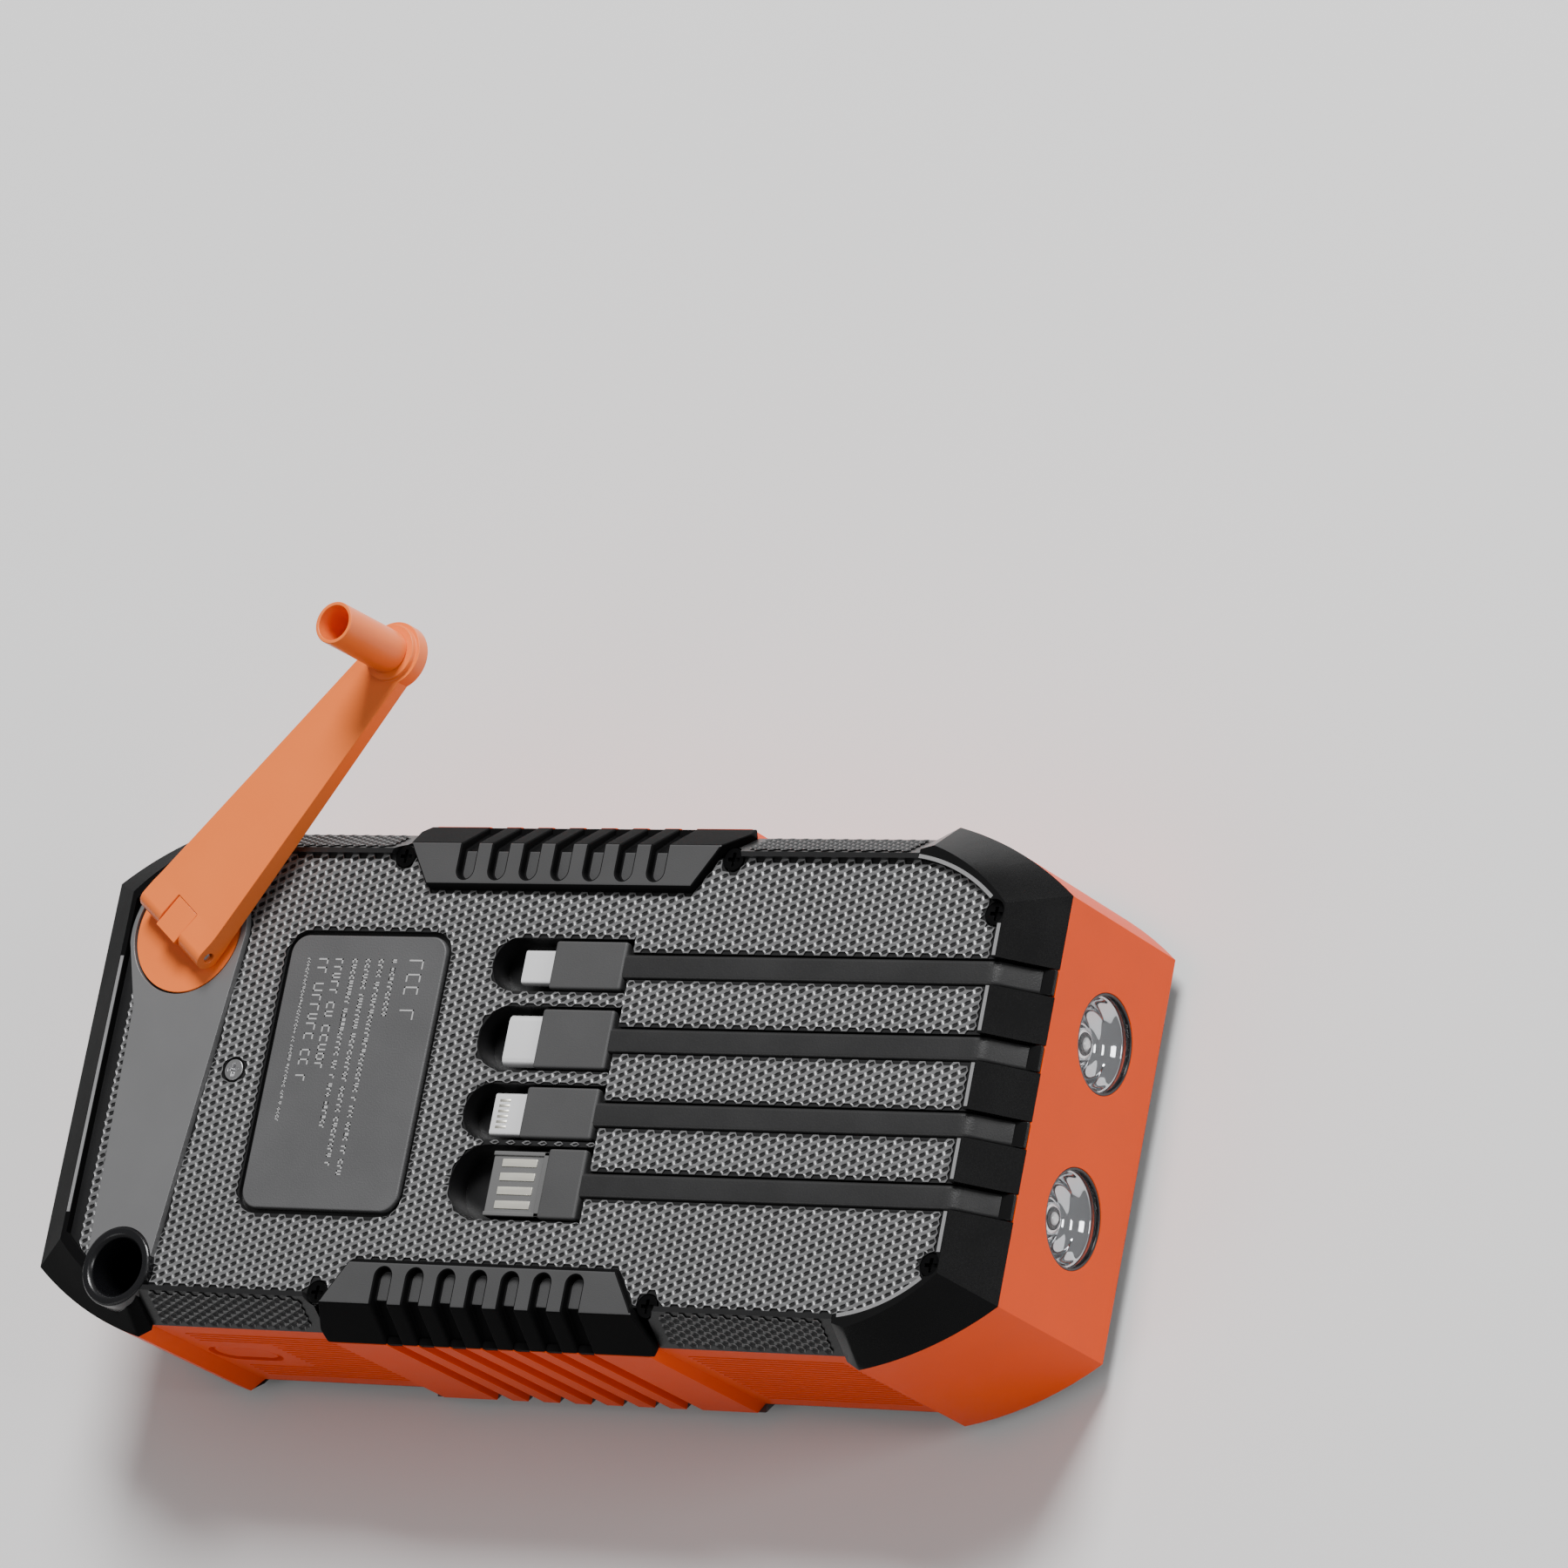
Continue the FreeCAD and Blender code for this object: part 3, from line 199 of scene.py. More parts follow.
# colour, roughness, and how strongly it is brushed along X
metals = {
    "screwSteel": ((0.60, 0.60, 0.61), 0.34, 0.06),
    "screwBlack": ((0.014, 0.014, 0.0145), 0.40, 0.20),
    "pinSteel": ((0.62, 0.62, 0.63), 0.22, 0.20),
    "trimSilver": ((0.80, 0.81, 0.83), 0.24, 0.35),
    "plugMetal": ((0.95, 0.95, 0.95), 0.48, 0.25),
    "contactMetal": ((0.98, 0.94, 0.84), 0.50, 0.20),
    # chrome darkened below a real mirror's brightness: painted shade for the dark surroundings it
    # reflects
    "mirrorWithPaintedShade": ((0.56, 0.57, 0.59), 0.05, 0.02),
    "canSteel": ((0.55, 0.55, 0.56), 0.30, 0.30),
    "pouchFoil": ((0.60, 0.61, 0.63), 0.36, 0.30),
    "cellSilver": ((0.80, 0.82, 0.90), 0.34, 0.15),
}


def mouldedFinish(name, colour, roughness, grain, depth, drift, extras):
    finish = Finish(name, Roughness=roughness, **extras)
    cloud = finish.noise(90, 4.0)
    speck = finish.noise(grain, 2.0)
    finish.feed("Base Color", finish.blend(cloud * 0.7 + speck * 0.3, scaled(colour, 1 - drift),
                                           scaled(colour, 1 + drift)))
    finish.feed("Roughness", roughness + (cloud - 0.5) * 0.12 + (speck - 0.5) * 0.10)
    finish.bump(speck, depth)
    return finish.material


def metalFinish(name, colour, roughness, brushing):
    finish = Finish(name, Metallic=1.0)
    streak = finish.noise(160, 4.0, (1.0, 22.0, 22.0))
    cloud = finish.noise(220, 3.0)
    finish.feed("Base Color", finish.blend(cloud, scaled(colour, 0.92), scaled(colour, 1.06)))
    finish.feed("Roughness", roughness + (streak - 0.5) * brushing * 0.5 + (cloud - 0.5) * 0.04)
    finish.bump(streak, 6.0e-6 * brushing)
    return finish.material


def cellFinish():  # silicon: violet blue with soft bands and faint crystal grain
    finish = Finish("siliconCell", Metallic=0.25, Coat_Weight=0.3)
    crystal = finish.add("ShaderNodeTexVoronoi", {}, {"Vector": finish.place, "Scale": 900.0},
                         "Color")
    cloud = finish.noise(60, 2.0)
    tone = finish.add("ShaderNodeSeparateColor", {}, {"Color": crystal})
    finish.feed("Base Color", finish.blend(cloud * 0.75 + tone * 0.25, (0.045, 0.05, 0.22),
                                           (0.15, 0.16, 0.46)))
    finish.feed("Roughness", 0.26 + tone * 0.10)
    return finish.material


def clearFinish(name, colour, alpha, roughness):
    finish = Finish(name, Base_Color=(*colour, 1), IOR=1.5)
    smear = finish.noise(45, 3.0)
    finish.feed("Roughness", roughness + smear * 0.03)
    finish.feed("Alpha", alpha + (smear - 0.5) * 0.02)
    finish.material.surface_render_method = "BLENDED"
    return finish.material


def lightFinish(name, colour, strength):
    finish = Finish(name, Base_Color=(*colour, 1), Roughness=0.25, Emission_Strength=strength)
    cloud = finish.noise(900, 2.0)
    finish.feed("Emission Color", finish.blend(cloud, colour, scaled(colour, 1.4)))
    return finish.material


def boardFinish():
    finish = Finish("boardGreen", Coat_Weight=0.4)
    track = finish.add("ShaderNodeTexBrick", {"offset": 0.35}, {
        "Vector": finish.place, "Scale": 260.0, "Color1": (0.008, 0.09, 0.03, 1),
        "Color2": (0.010, 0.12, 0.04, 1), "Mortar": (0.03, 0.20, 0.07, 1), "Mortar Size": 0.05})
    finish.feed("Base Color", track)
    finish.feed("Roughness", 0.30 + finish.noise(700) * 0.15)
    return finish.material


finishes = {name: mouldedFinish(name, *values) for name, values in mouldings.items()}
finishes.update({name: metalFinish(name, *values) for name, values in metals.items()})
finishes["siliconCell"] = cellFinish()
finishes["panelClear"] = clearFinish("panelClear", (0.75, 0.78, 0.85), 0.10, 0.05)
finishes["lensClear"] = clearFinish("lensClear", (0.90, 0.94, 1.0), 0.035, 0.02)
finishes["greenLight"] = lightFinish("greenLight", (0.10, 0.95, 0.12), 4.0)
finishes["blueLight"] = lightFinish("blueLight", (0.08, 0.35, 1.0), 4.0)
finishes["boardGreen"] = boardFinish()
print("finishes ready:", len(finishes))


# pieces are built in millimetres and scaled to metres as they settle
def dress(obj, finishName):
    obj.data.materials.clear()
    obj.data.materials.append(finishes[finishName])
    return obj


def span(nodeName):
    low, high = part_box(nodeName)
    return low / mm, high / mm


def meshOf(obj):
    return bpy.data.meshes.new_from_object(obj.evaluated_get(
        bpy.context.evaluated_depsgraph_get()))


def evened(obj):  # broad faces lead the shading, so flats stay flat between rounded edges
    for face in obj.data.polygons:
        face.use_smooth = True
    obj.data.set_sharp_from_angle(angle=math.radians(52))
    weights = obj.modifiers.new("weights", "WEIGHTED_NORMAL")
    weights.keep_sharp = True
    weights.weight = 60
    mesh = meshOf(obj)
    obj.modifiers.clear()
    obj.data = mesh
    return obj


def newObject(name, mesh):
    obj = bpy.data.objects.new(name, mesh)
    bpy.context.scene.collection.objects.link(obj)
    return obj


# a worked mesh becomes a piece; with no body it is left unattached
def settle(bm, name, finishName, body="case", even=True):
    mesh = bpy.data.meshes.new(name)
    bmesh.ops.recalc_face_normals(bm, faces=bm.faces)
    bm.to_mesh(mesh)
    bm.free()
    mesh.transform(Matrix.Scale(mm, 4))
    obj = newObject(name, mesh)
    if even:
        evened(obj)
    dress(obj, finishName)
    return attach(obj, body) if body else obj


# the same solid with its sharp edges rounded, as a moulding has them
def softened(nodeName, finishName, edge, steps=2):
    body = nodes[nodeName]["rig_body"]
    bm = bmesh.new()
    bm.from_mesh(nodes[nodeName].data)
    bmesh.ops.remove_doubles(bm, verts=bm.verts, dist=2e-6)
    bmesh.ops.dissolve_limit(bm, angle_limit=math.radians(0.6), verts=bm.verts, edges=bm.edges)
    mesh = bpy.data.meshes.new(nodeName + "_shape")
    bm.to_mesh(mesh)
    bm.free()
    piece = newObject(nodeName + "_moulded", mesh)
    bevel = piece.modifiers.new("edges", "BEVEL")
    bevel.width = edge * mm
    bevel.segments = steps
    bevel.limit_method = "ANGLE"
    bevel.angle_limit = math.radians(28)
    bevel.miter_outer = "MITER_ARC"
    shape = meshOf(piece)
    piece.modifiers.clear()
    piece.data = shape
    dress(evened(piece), finishName)
    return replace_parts(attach(piece, body), nodeName)


def addRing(bm, corners):
    return [bm.verts.new(corner) for corner in corners]


def bridge(bm, first, second):
    for index in range(len(first)):
        after = (index + 1) % len(first)
        bm.faces.new((first[index], first[after], second[after], second[index]))


def addTube(bm, rings, closed=True):
    rings = [addRing(bm, ring) for ring in rings]
    for first, second in zip(rings, rings[1:]):
        bridge(bm, first, second)
    if closed:
        bm.faces.new(rings[0])
        bm.faces.new(rings[-1])


def addBlock(bm, low, high, edge=0.0, steps=2):
    part = bmesh.new()
    bmesh.ops.create_cube(part, size=1.0)
    middle = (Vector(low) + Vector(high)) / 2
    size = Vector(high) - Vector(low)
    for vert in part.verts:
        vert.co = middle + vert.co * size
    if edge:
        bmesh.ops.bevel(part, geom=part.edges, offset=edge, segments=steps, profile=0.5,
                        affect="EDGES", clamp_overlap=True)
    mesh = bpy.data.meshes.new("block")
    part.to_mesh(mesh)
    part.free()
    bm.from_mesh(mesh)
    bpy.data.meshes.remove(mesh)


def roundedLoop(halfWide, halfTall, radius, steps=3):  # a rounded rectangle's (wide, tall)
    loop = []
    for turn, (wide, tall) in enumerate(((1, 1), (-1, 1), (-1, -1), (1, -1))):
        for step in range(steps + 1):
            angle = math.pi / 2 * (turn + step / steps)
            loop.append((wide * (halfWide - radius) + radius * math.cos(angle),
                         tall * (halfTall - radius) + radius * math.sin(angle)))
    return loop


def addTurned(bm, profile, centre, steps=72):  # turns (distance along X, radius) pairs
    turns = [2 * math.pi * index / steps for index in range(steps)]
    addTube(bm, [[Vector(centre) + Vector((reach, radius * math.cos(turn),
                                           radius * math.sin(turn))) for turn in turns]
                 for reach, radius in profile], closed=False)


stageLook = {"floorSize": 6.0, "floorTone": (0.86, 0.86, 0.86), "worldTone": 0.95,
             "worldStrength": 0.24}

cameraLook = {
    "place": (0.8173, -0.3277, 1.1435),
    "right": (0.831, 0.183, -0.525),
    "forward": (-0.556, 0.267, -0.787),
    "lens": 214.1, "sensor": 36.0,
}

# where each soft lamp stands, its size in metres and its power in watts; all face the object
lampLooks = {
    "keyLamp": ((0.25, 1.25, 1.5), 0.7, 53.0),
    "fillLamp": ((-0.9, -1.1, 1.6), 1.0, 4.0),
    "endLamp": ((1.6, 0.15, 0.75), 0.6, 8.5),
}


def makeStage():
    bm = bmesh.new()
    half = stageLook["floorSize"] / 2
    floorLevel = cadBox[0][2] - 0.00002
    bm.faces.new(addRing(bm, [(-half, -half, floorLevel), (half, -half, floorLevel),
                              (half, half, floorLevel), (-half, half, floorLevel)]))
    mesh = bpy.data.meshes.new("floor")
    bm.to_mesh(mesh)
    bm.free()
    floor = bpy.data.objects.new("floor", mesh)
    bpy.context.scene.collection.objects.link(floor)
    paper = Finish("paper", Base_Color=(*stageLook["floorTone"], 1), Roughness=0.9)
    floor.data.materials.append(paper.material)
    world = bpy.data.worlds.new("studio")
    world.use_nodes = True
    sky = world.node_tree.nodes["Background"]
    sky.inputs["Color"].default_value = (*[stageLook["worldTone"]] * 3, 1)
    sky.inputs["Strength"].default_value = stageLook["worldStrength"]
    bpy.context.scene.world = world


def makeCamera():
    right = Vector(cameraLook["right"]).normalized()
    back = -Vector(cameraLook["forward"])
    back = (back - right * back.dot(right)).normalized()
    up = back.cross(right)
    turn = Matrix((right, up, back)).transposed().to_4x4()
    data = bpy.data.cameras.new("camera")
    data.lens = cameraLook["lens"]
    data.sensor_width = cameraLook["sensor"]
    data.clip_start = 0.05
    data.clip_end = 20
    camera = bpy.data.objects.new("camera", data)
    camera.matrix_world = Matrix.Translation(cameraLook["place"]) @ turn
    bpy.context.scene.collection.objects.link(camera)
    bpy.context.scene.camera = camera


def makeLamps():
    for name, (place, size, power) in lampLooks.items():
        data = bpy.data.lights.new(name, "AREA")
        data.size = size
        data.energy = power
        lamp = bpy.data.objects.new(name, data)
        lamp.location = place
        lamp.rotation_euler = Vector(place).to_track_quat("Z", "Y").to_euler()
        bpy.context.scene.collection.objects.link(lamp)


makeStage()
makeCamera()
makeLamps()
print("stage, camera and lamps ready")


# each shell: its finish, its slot and how far its edges are rounded
shells = {
    "mid_band": ("orangeShell", "orange_shell", 0.75),
    "rear_cover": ("blackShell", "deck_texture", 0.18),
    "lamp_end_bumper": ("blackGloss", "black_gloss", 0.40),
    "crank_end_bumper": ("blackDull", "black_gloss", 0.40),
    "rear_grips": ("gripGrey", "black_shell", 0.28),
    "front_bezel": ("blackShell", "black_shell", 0.20),
    "front_corner_guards": ("blackGloss", "black_shell", 0.35),
    "front_grips": ("gripGrey", "black_shell", 0.28),
    "trim_ring": ("trimSilver", "trim_silver", 0.20),
    "crank_seat": ("seatGrey", "seat_grey", 0.22),
    "grip_pocket": ("pocketBlack", "black_gloss", 0.22),
    "label_plate": ("labelPlate", "label", 0.30),
    "crank_hub": ("crankOrangeAndPaintedSheen", "orange_crank", 0.14),
    "crank_arm": ("crankOrangeAndPaintedSheen", "orange_crank", 0.20),
    "crank_grip": ("crankOrangeAndPaintedSheen", "orange_crank", 0.14),
    "power_button": ("orangeShell", "orange_shell", 0.30),
    "port_cover": ("orangeFlap", "flap_orange", 0.30),
    "case_screws": ("screwBlack", "screw_black", 0.08),
    "gearbox_screw": ("screwSteel", "screw_steel", 0.08),
}

for shell, (finishName, slotName, edge) in shells.items():
    moulded = softened(shell, finishName, edge)
    # painted shade: on the rear grips every face that does not face straight up, flanks and slot
    # walls, takes the dark finish
    if shell == "rear_grips":
        moulded.data.materials.append(finishes["blackDull"])  # flanks and slot walls: painted shade
        for face in moulded.data.polygons:
            face.material_index = 1 if face.normal.z < 0.93 else 0
print("shells softened:", len(shells))

# nodes whose own shape stays: finish and slot
plainNodes = {
    "panel_cover": ("panelClear", "panel_clear"), "panel_backing": ("panelBlack", "panel_black"),
    "solar_cells": ("siliconCell", "solar_cell"), "status_led_green": ("greenLight", "led_green"),
    "status_leds_blue": ("blueLight", "led_blue"), "led_board": ("boardGreen", "pcb"),
    "hinge_pin": ("pinSteel", "steel"), "grip_axle": ("pinSteel", "steel"),
    "crank_gear": ("gearNylon", "nylon"), "idler_gear": ("gearNylon", "nylon"),
    "motor_pinion": ("gearNylon", "nylon"), "idler_axle": ("pinSteel", "steel"),
    "generator_motor": ("canSteel", "motor_can"), "gear_plate": ("frameBlack", "frame_plastic"),
    "battery_cells": ("pouchFoil", "pouch"), "battery_frame": ("frameBlack", "frame_plastic"),
    "main_board": ("boardGreen", "pcb"), "usb_a_sockets": ("plugMetal", "socket_steel"),
    "usb_c_socket": ("plugMetal", "socket_steel"), "switch_board": ("boardGreen", "pcb"),
    "tact_switch": ("switchBlack", "switch"), "lamp_board": ("boardGreen", "pcb"),
}
for nodeName, (finishName, slotName) in plainNodes.items():
    dress(nodes[nodeName], finishName)
print("plain nodes dressed:", len(plainNodes))


# moulded nets: a light web round rows of dimples, the dimples' near-black floors and walls painted
# shade
deckNet = {"pitch": 2.96, "row": 0.69, "ridge": 0.24, "rim": 0.14, "pitLong": 0.76,
           "pitWide": 0.37, "lean": 27, "floor": 0.02, "web": "deckWeb", "pit": "pitPaintedShade"}
chamferNet = {"pitch": 2.40, "row": 0.66, "ridge": 0.18, "rim": 0.06, "pitLong": 0.62,
              "pitWide": 0.34, "lean": 30, "floor": 0.01, "web": "chamferWeb", "pit": "pitPaintedShade"}
# how much of a tile is kept, in turn, where it would run over an edge
trims = (1.0, 0.85, 0.7, 0.55, 0.4, 0.25)
smallestTrim = 0.1
pitTaper = 0.7  # size of a pit's floor beside its mouth


def pitCorner(look, angle):  # where a leaning oval's edge lies in that direction
    turned = angle - math.radians(look["lean"])
    longWay, wideWay = math.cos(turned) / look["pitLong"], math.sin(turned) / look["pitWide"]
    radius = 1 / math.hypot(longWay, wideWay)
    return radius * math.cos(angle), radius * math.sin(angle)


# hexagonal tiles fill a rectangle of that size from its corner, wherever inside allows
def makeNet(name, look, corner, along, across, size, inside):
    along, across = Vector(along).normalized(), Vector(across).normalized()
    outward = along.cross(across)
    if outward.z < 0:
        outward.negate()
    half, row = look["pitch"] / 2, look["row"]
    reach = (half * half + row * row) / (2 * half)
    narrow = reach - row * row / half
    outline = [(reach, 0), (narrow, row), (-narrow, row), (-reach, 0), (-narrow, -row),
               (narrow, -row)]
    pit = [pitCorner(look, math.atan2(v, u)) for u, v in outline]
    web, pits, shared = bmesh.new(), bmesh.new(), {}

    def spot(u, v, lift):
        return Vector(corner) + along * u + across * v + outward * lift

    def webCorner(u, v, trimmed):
        if trimmed:
            return web.verts.new(spot(u, v, look["rim"]))
        key = (round(u, 3), round(v, 3))
        if key not in shared:
            shared[key] = web.verts.new(spot(u, v, look["ridge"]))
        return shared[key]

    count = 0
    for line in range(1, int(size[1] / row)):
        for column in range(1, int(size[0] / look["pitch"])):
            u, v = column * look["pitch"] + half * (line % 2), line * row
            if not inside(spot(u, v, 0)):
                continue
            shares = [next((trim for trim in trims if inside(spot(u + du * trim, v + dv * trim, 0))),
                           smallestTrim) for du, dv in outline]
            edge = [webCorner(u + du * trim, v + dv * trim, trim < 1)
                    for (du, dv), trim in zip(outline, shares)]
            hole = [(du * trim, dv * trim) for (du, dv), trim in zip(pit, shares)]
            bridge(web, edge, addRing(web, [spot(u + du, v + dv, look["rim"])
                                            for du, dv in hole]))
            lip = addRing(pits, [spot(u + du, v + dv, look["rim"]) for du, dv in hole])
            low = addRing(pits, [spot(u + du * pitTaper, v + dv * pitTaper, look["floor"])
                                 for du, dv in hole])
            bridge(pits, lip, low)
            pits.faces.new(low)
            count += 1
    settle(web, name + "_web", look["web"], even=False)
    # the pits take the near-black finish as painted shade
    settle(pits, name + "_pits", look["pit"], even=False)
    return count


def deckCaster():  # all that a finger would touch with the crank lifted off
    verts, faces, owners = [], [], []
    for name, node in nodes.items():
        if node["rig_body"] in ("crank_lever", "grip"):
            continue
        base = len(verts)
        verts.extend(vert.co.copy() for vert in node.data.vertices)
        faces.extend([base + index for index in face.vertices] for face in node.data.polygons)
        owners.extend([name] * len(node.data.polygons))
    return BVHTree.FromPolygons(verts, faces), owners


caster, owners = deckCaster()
labelProud = 0.4  # how far the label stands above the deck
deckLevel = span("label_plate")[1].z - labelProud
deckHalf = (80.0, 35.2)
castFrom = 20.0


def onDeck(point):
    start = Vector((point.x, point.y, deckLevel + castFrom)) * mm
    hit, _, face, _ = caster.ray_cast(start, Vector((0, 0, -1)))
    return (hit is not None and owners[face] == "rear_cover"
            and abs(hit.z / mm - deckLevel) < 0.01)


count = makeNet("deck", deckNet, (-deckHalf[0], -deckHalf[1], deckLevel), (1, 0, 0), (0, 1, 0),
                (deckHalf[0] * 2, deckHalf[1] * 2), onDeck)
chamfer = {"start": 31.4, "length": 32.4, "top": (36.1, 39.85), "foot": (39.9, 34.15)}
slope = Vector((0, chamfer["foot"][0] - chamfer["top"][0], chamfer["foot"][1] - chamfer["top"][1]))
for side in (-1, 1):
    for end in (-1, 1):
        count += makeNet(f"chamfer_{side + 2}{end + 2}", chamferNet,
                         (end * chamfer["start"], side * chamfer["top"][0], chamfer["top"][1]),
                         (end, 0, 0), (0, side * slope.y, slope.z),
                         (chamfer["length"], slope.length), lambda point: True)
print("dimples in the nets:", count)


# painted highlight: a light grey bead round the ends of the deck, broken for the straps, the screws
# and the crank's seat
paintedEdgeLook = {"x": 80.55, "y": 35.5, "cornerX": 64.3, "flat": 27.2, "round": 27.0, "halfWide": 0.3,
            "low": 39.7, "high": 40.06, "screw": (79.0, 27.0), "screwRoom": 2.3,
            "strapRoom": 0.35, "seatFrom": 18, "seatTo": -24, "arcSteps": 24, "endSteps": 220}


def arcPoints(start, end, radius, steps):  # the short arc that bulges away from the origin
    start, end = Vector(start), Vector(end)
    middle, chord = (start + end) / 2, end - start
    inward = Vector((-chord.y, chord.x)).normalized()
    if inward.dot(middle) > 0:
        inward.negate()
    centre = middle + inward * math.sqrt(radius ** 2 - chord.length_squared / 4)
    points = []
    for step in range(steps + 1):
        arm = (start + chord * step / steps) - centre
        points.append(centre + arm.normalized() * radius)
    return points


def makePaintedEdgeHighlight():
    look = paintedEdgeLook
    leadSpans = [span(f"lead_{number}_strap") for number in (1, 2, 3, 4)]
    arc = arcPoints((look["cornerX"], look["y"]), (look["x"], look["flat"]), look["round"],
                    look["arcSteps"])
    steps = look["endSteps"]
    straight = [Vector((look["x"], look["flat"] * (1 - 2 * step / steps)))
                for step in range(1, steps)]
    loop = arc + straight + [Vector((point.x, -point.y)) for point in reversed(arc)]
    bm = bmesh.new()
    for end in (-1, 1):
        run = []
        for index, point in enumerate(loop):
            atStrap = end > 0 and abs(point.y) < look["flat"] and any(
                low.y - look["strapRoom"] < point.y < high.y + look["strapRoom"]
                for low, high in leadSpans)
            screwX, screwY = look["screw"]
            atScrew = end > 0 and math.hypot(point.x - screwX,
                                             abs(point.y) - screwY) < look["screwRoom"]
            atSeat = end < 0 and not look["seatTo"] <= point.y <= look["seatFrom"]
            if atStrap or atScrew or atSeat or index == len(loop) - 1:
                if len(run) > 2:
                    addTube(bm, run)
                run = []
                continue
            ahead = loop[index + 1] - point
            side = Vector((ahead.y, -ahead.x)).normalized() * look["halfWide"]
            outer, inner = point + side, point - side
            run.append([(spot.x * end, spot.y, look[level]) for spot, level in (
                (outer, "low"), (outer, "high"), (inner, "high"), (inner, "low"))])
    settle(bm, "deck_edge_highlight", "rimPaintedHighlight")


makePaintedEdgeHighlight()


# label rows: place along the case, height of the marks and length, all of blank open frames
labelLook = {"rows": ((-24.2, 2.7, 12), (-28.4, 0.9, 9), (-30.9, 0.9, 34), (-33.4, 0.9, 33),
                      (-35.9, 0.9, 27), (-38.9, 1.5, 19), (-41.9, 1.8, 20), (-44.7, 0.6, 26)),
             "start": 18.2, "lift": 0.03, "sink": 0.02, "stroke": 0.24, "seed": 7,
             "widths": (0.45, 0.8), "wordGap": 0.9, "gap": 0.28, "words": 0.14}


def makePrint():
    rng = random.Random(labelLook["seed"])
    bm = bmesh.new()
    level = span("label_plate")[1].z
    low, high = level - labelLook["sink"], level + labelLook["lift"]
    for x, tall, length in labelLook["rows"]:
        y, end = labelLook["start"], labelLook["start"] - length
        thin = min(labelLook["stroke"], tall / 4)
        while y > end:
            wide = tall * rng.uniform(*labelLook["widths"])
            left, right = x - tall / 2, x + tall / 2
            addBlock(bm, (left, y - thin, low), (right, y, high))
            kind = rng.random()
            if kind > 0.35:
                addBlock(bm, (left, y - wide, low), (left + thin, y, high))
            if kind > 0.6:
                addBlock(bm, (left, y - wide, low), (right, y - wide + thin, high))
            if kind < 0.75:
                addBlock(bm, (right - thin, y - wide, low), (right, y, high))
            wordEnds = rng.random() < labelLook["words"]
            y -= wide + tall * labelLook["wordGap" if wordEnds else "gap"]
    settle(bm, "label_print", "labelPrint", even=False)


makePrint()


# leads; overRim: place and drop of the strap where it runs down over the lamp end
leadLook = {
    "numbers": (1, 2, 3, 4), "strapRound": 0.62, "plugRound": 0.45, "wall": 0.35, "mouth": 3.4,
    "bendStart": 80.6, "bendEnd": 77.4, "intoPlug": 0.6, "steps": 60,
    "overRim": ((80.0, 0.02), (80.7, 0.25), (81.4, 0.75), (82.6, 1.7), (84.2, 2.95)),
    "rimEnd": 0.75, "rimEndLevel": 34.1,
}
# shape of each tip: how round its ends are, as a share of its height
tips = {1: 0.28, 2: 0.5, 3: 0.3}


def makeStrap(number):  # one band, from the plug to the rim and on down over it
    low, high = span(f"lead_{number}_strap")
    rootHigh = span("lead_roots")[1]
    y, middle = (low.y + high.y) / 2, (low.z + high.z) / 2
    halfThick = (high.z - low.z) / 2
    steps, start = leadLook["steps"], low.x - leadLook["intoPlug"]
    path = [(start + (high.x - start) * step / steps, middle) for step in range(steps + 1)]
    path += [(x, middle - drop) for x, drop in leadLook["overRim"]]
    path.append((rootHigh.x - leadLook["rimEnd"], leadLook["rimEndLevel"]))
    loop = roundedLoop((high.y - low.y) / 2, halfThick, leadLook["strapRound"])
    rings = []
    for index, (x, z) in enumerate(path):
        before, after = path[max(index - 1, 0)], path[min(index + 1, len(path) - 1)]
        heading = Vector((after[0] - before[0], 0, after[1] - before[1])).normalized()
        up = Vector((-heading.z, 0, heading.x))
        rings.append([Vector((x, y + wide, z)) + up * tall for wide, tall in loop])
    bm = bmesh.new()
    addTube(bm, rings)
    strap = settle(bm, f"lead_{number}_band", "strapRubber", None)
    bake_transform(strap)
    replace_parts(strap, f"lead_{number}_strap", "lead_roots")


# lead 4's bare tongue in a thin frame, with four long contacts; back: from the plug's front
slimLook = {"shellBack": 6.2, "back": 6.6, "sunk": 0.75, "boardDrop": 0.25, "frame": 0.7,
            "bar": 1.6, "contacts": 4, "contactHalf": 0.62, "contactFrom": 1.8, "contactTo": 8.2}


def makePlug(number):
    body = f"lead_{number}"
    low, high = span(body + "_plug")
    bm = bmesh.new()
    back = low.x + (slimLook["shellBack"] if number == 4 else 0)
    addBlock(bm, (back, low.y, low.z), high, leadLook["plugRound"])
    plug = settle(bm, body + "_shell", "plugGrey", body)
    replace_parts(plug, body + "_plug")


def makeTip(number):  # a plated shell with an open mouth and a tongue inside it
    body = f"lead_{number}"
    low, high = span(body + "_tip")
    centre = (low + high) / 2
    half = (high - low) / 2
    wall = leadLook["wall"]
    outer = roundedLoop(half.y, half.z, half.z * 2 * tips[number] * 0.98)
    inner = roundedLoop(half.y - wall, half.z - wall, (half.z - wall) * 2 * tips[number] * 0.98)

    def ring(loop, x):
        return [(x, centre.y + wide, centre.z + tall) for wide, tall in loop]

    bm = bmesh.new()
    addTube(bm, [ring(inner, low.x + leadLook["mouth"]), ring(inner, low.x), ring(outer, low.x),
                 ring(outer, high.x + 0.2)])
    # the plated shell's near-white is a painted reflection in place of bright steel
    shell = settle(bm, body + "_mouth", "whiteAndPaintedReflection", body)
    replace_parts(shell, body + "_tip")
    bm = bmesh.new()
    addBlock(bm, (low.x + 0.5, low.y + wall * 3, centre.z - 0.22),
             (low.x + leadLook["mouth"] + 0.2, high.y - wall * 3, centre.z + 0.22), 0.06, 1)
    settle(bm, body + "_tongue", "plugTongue", body)


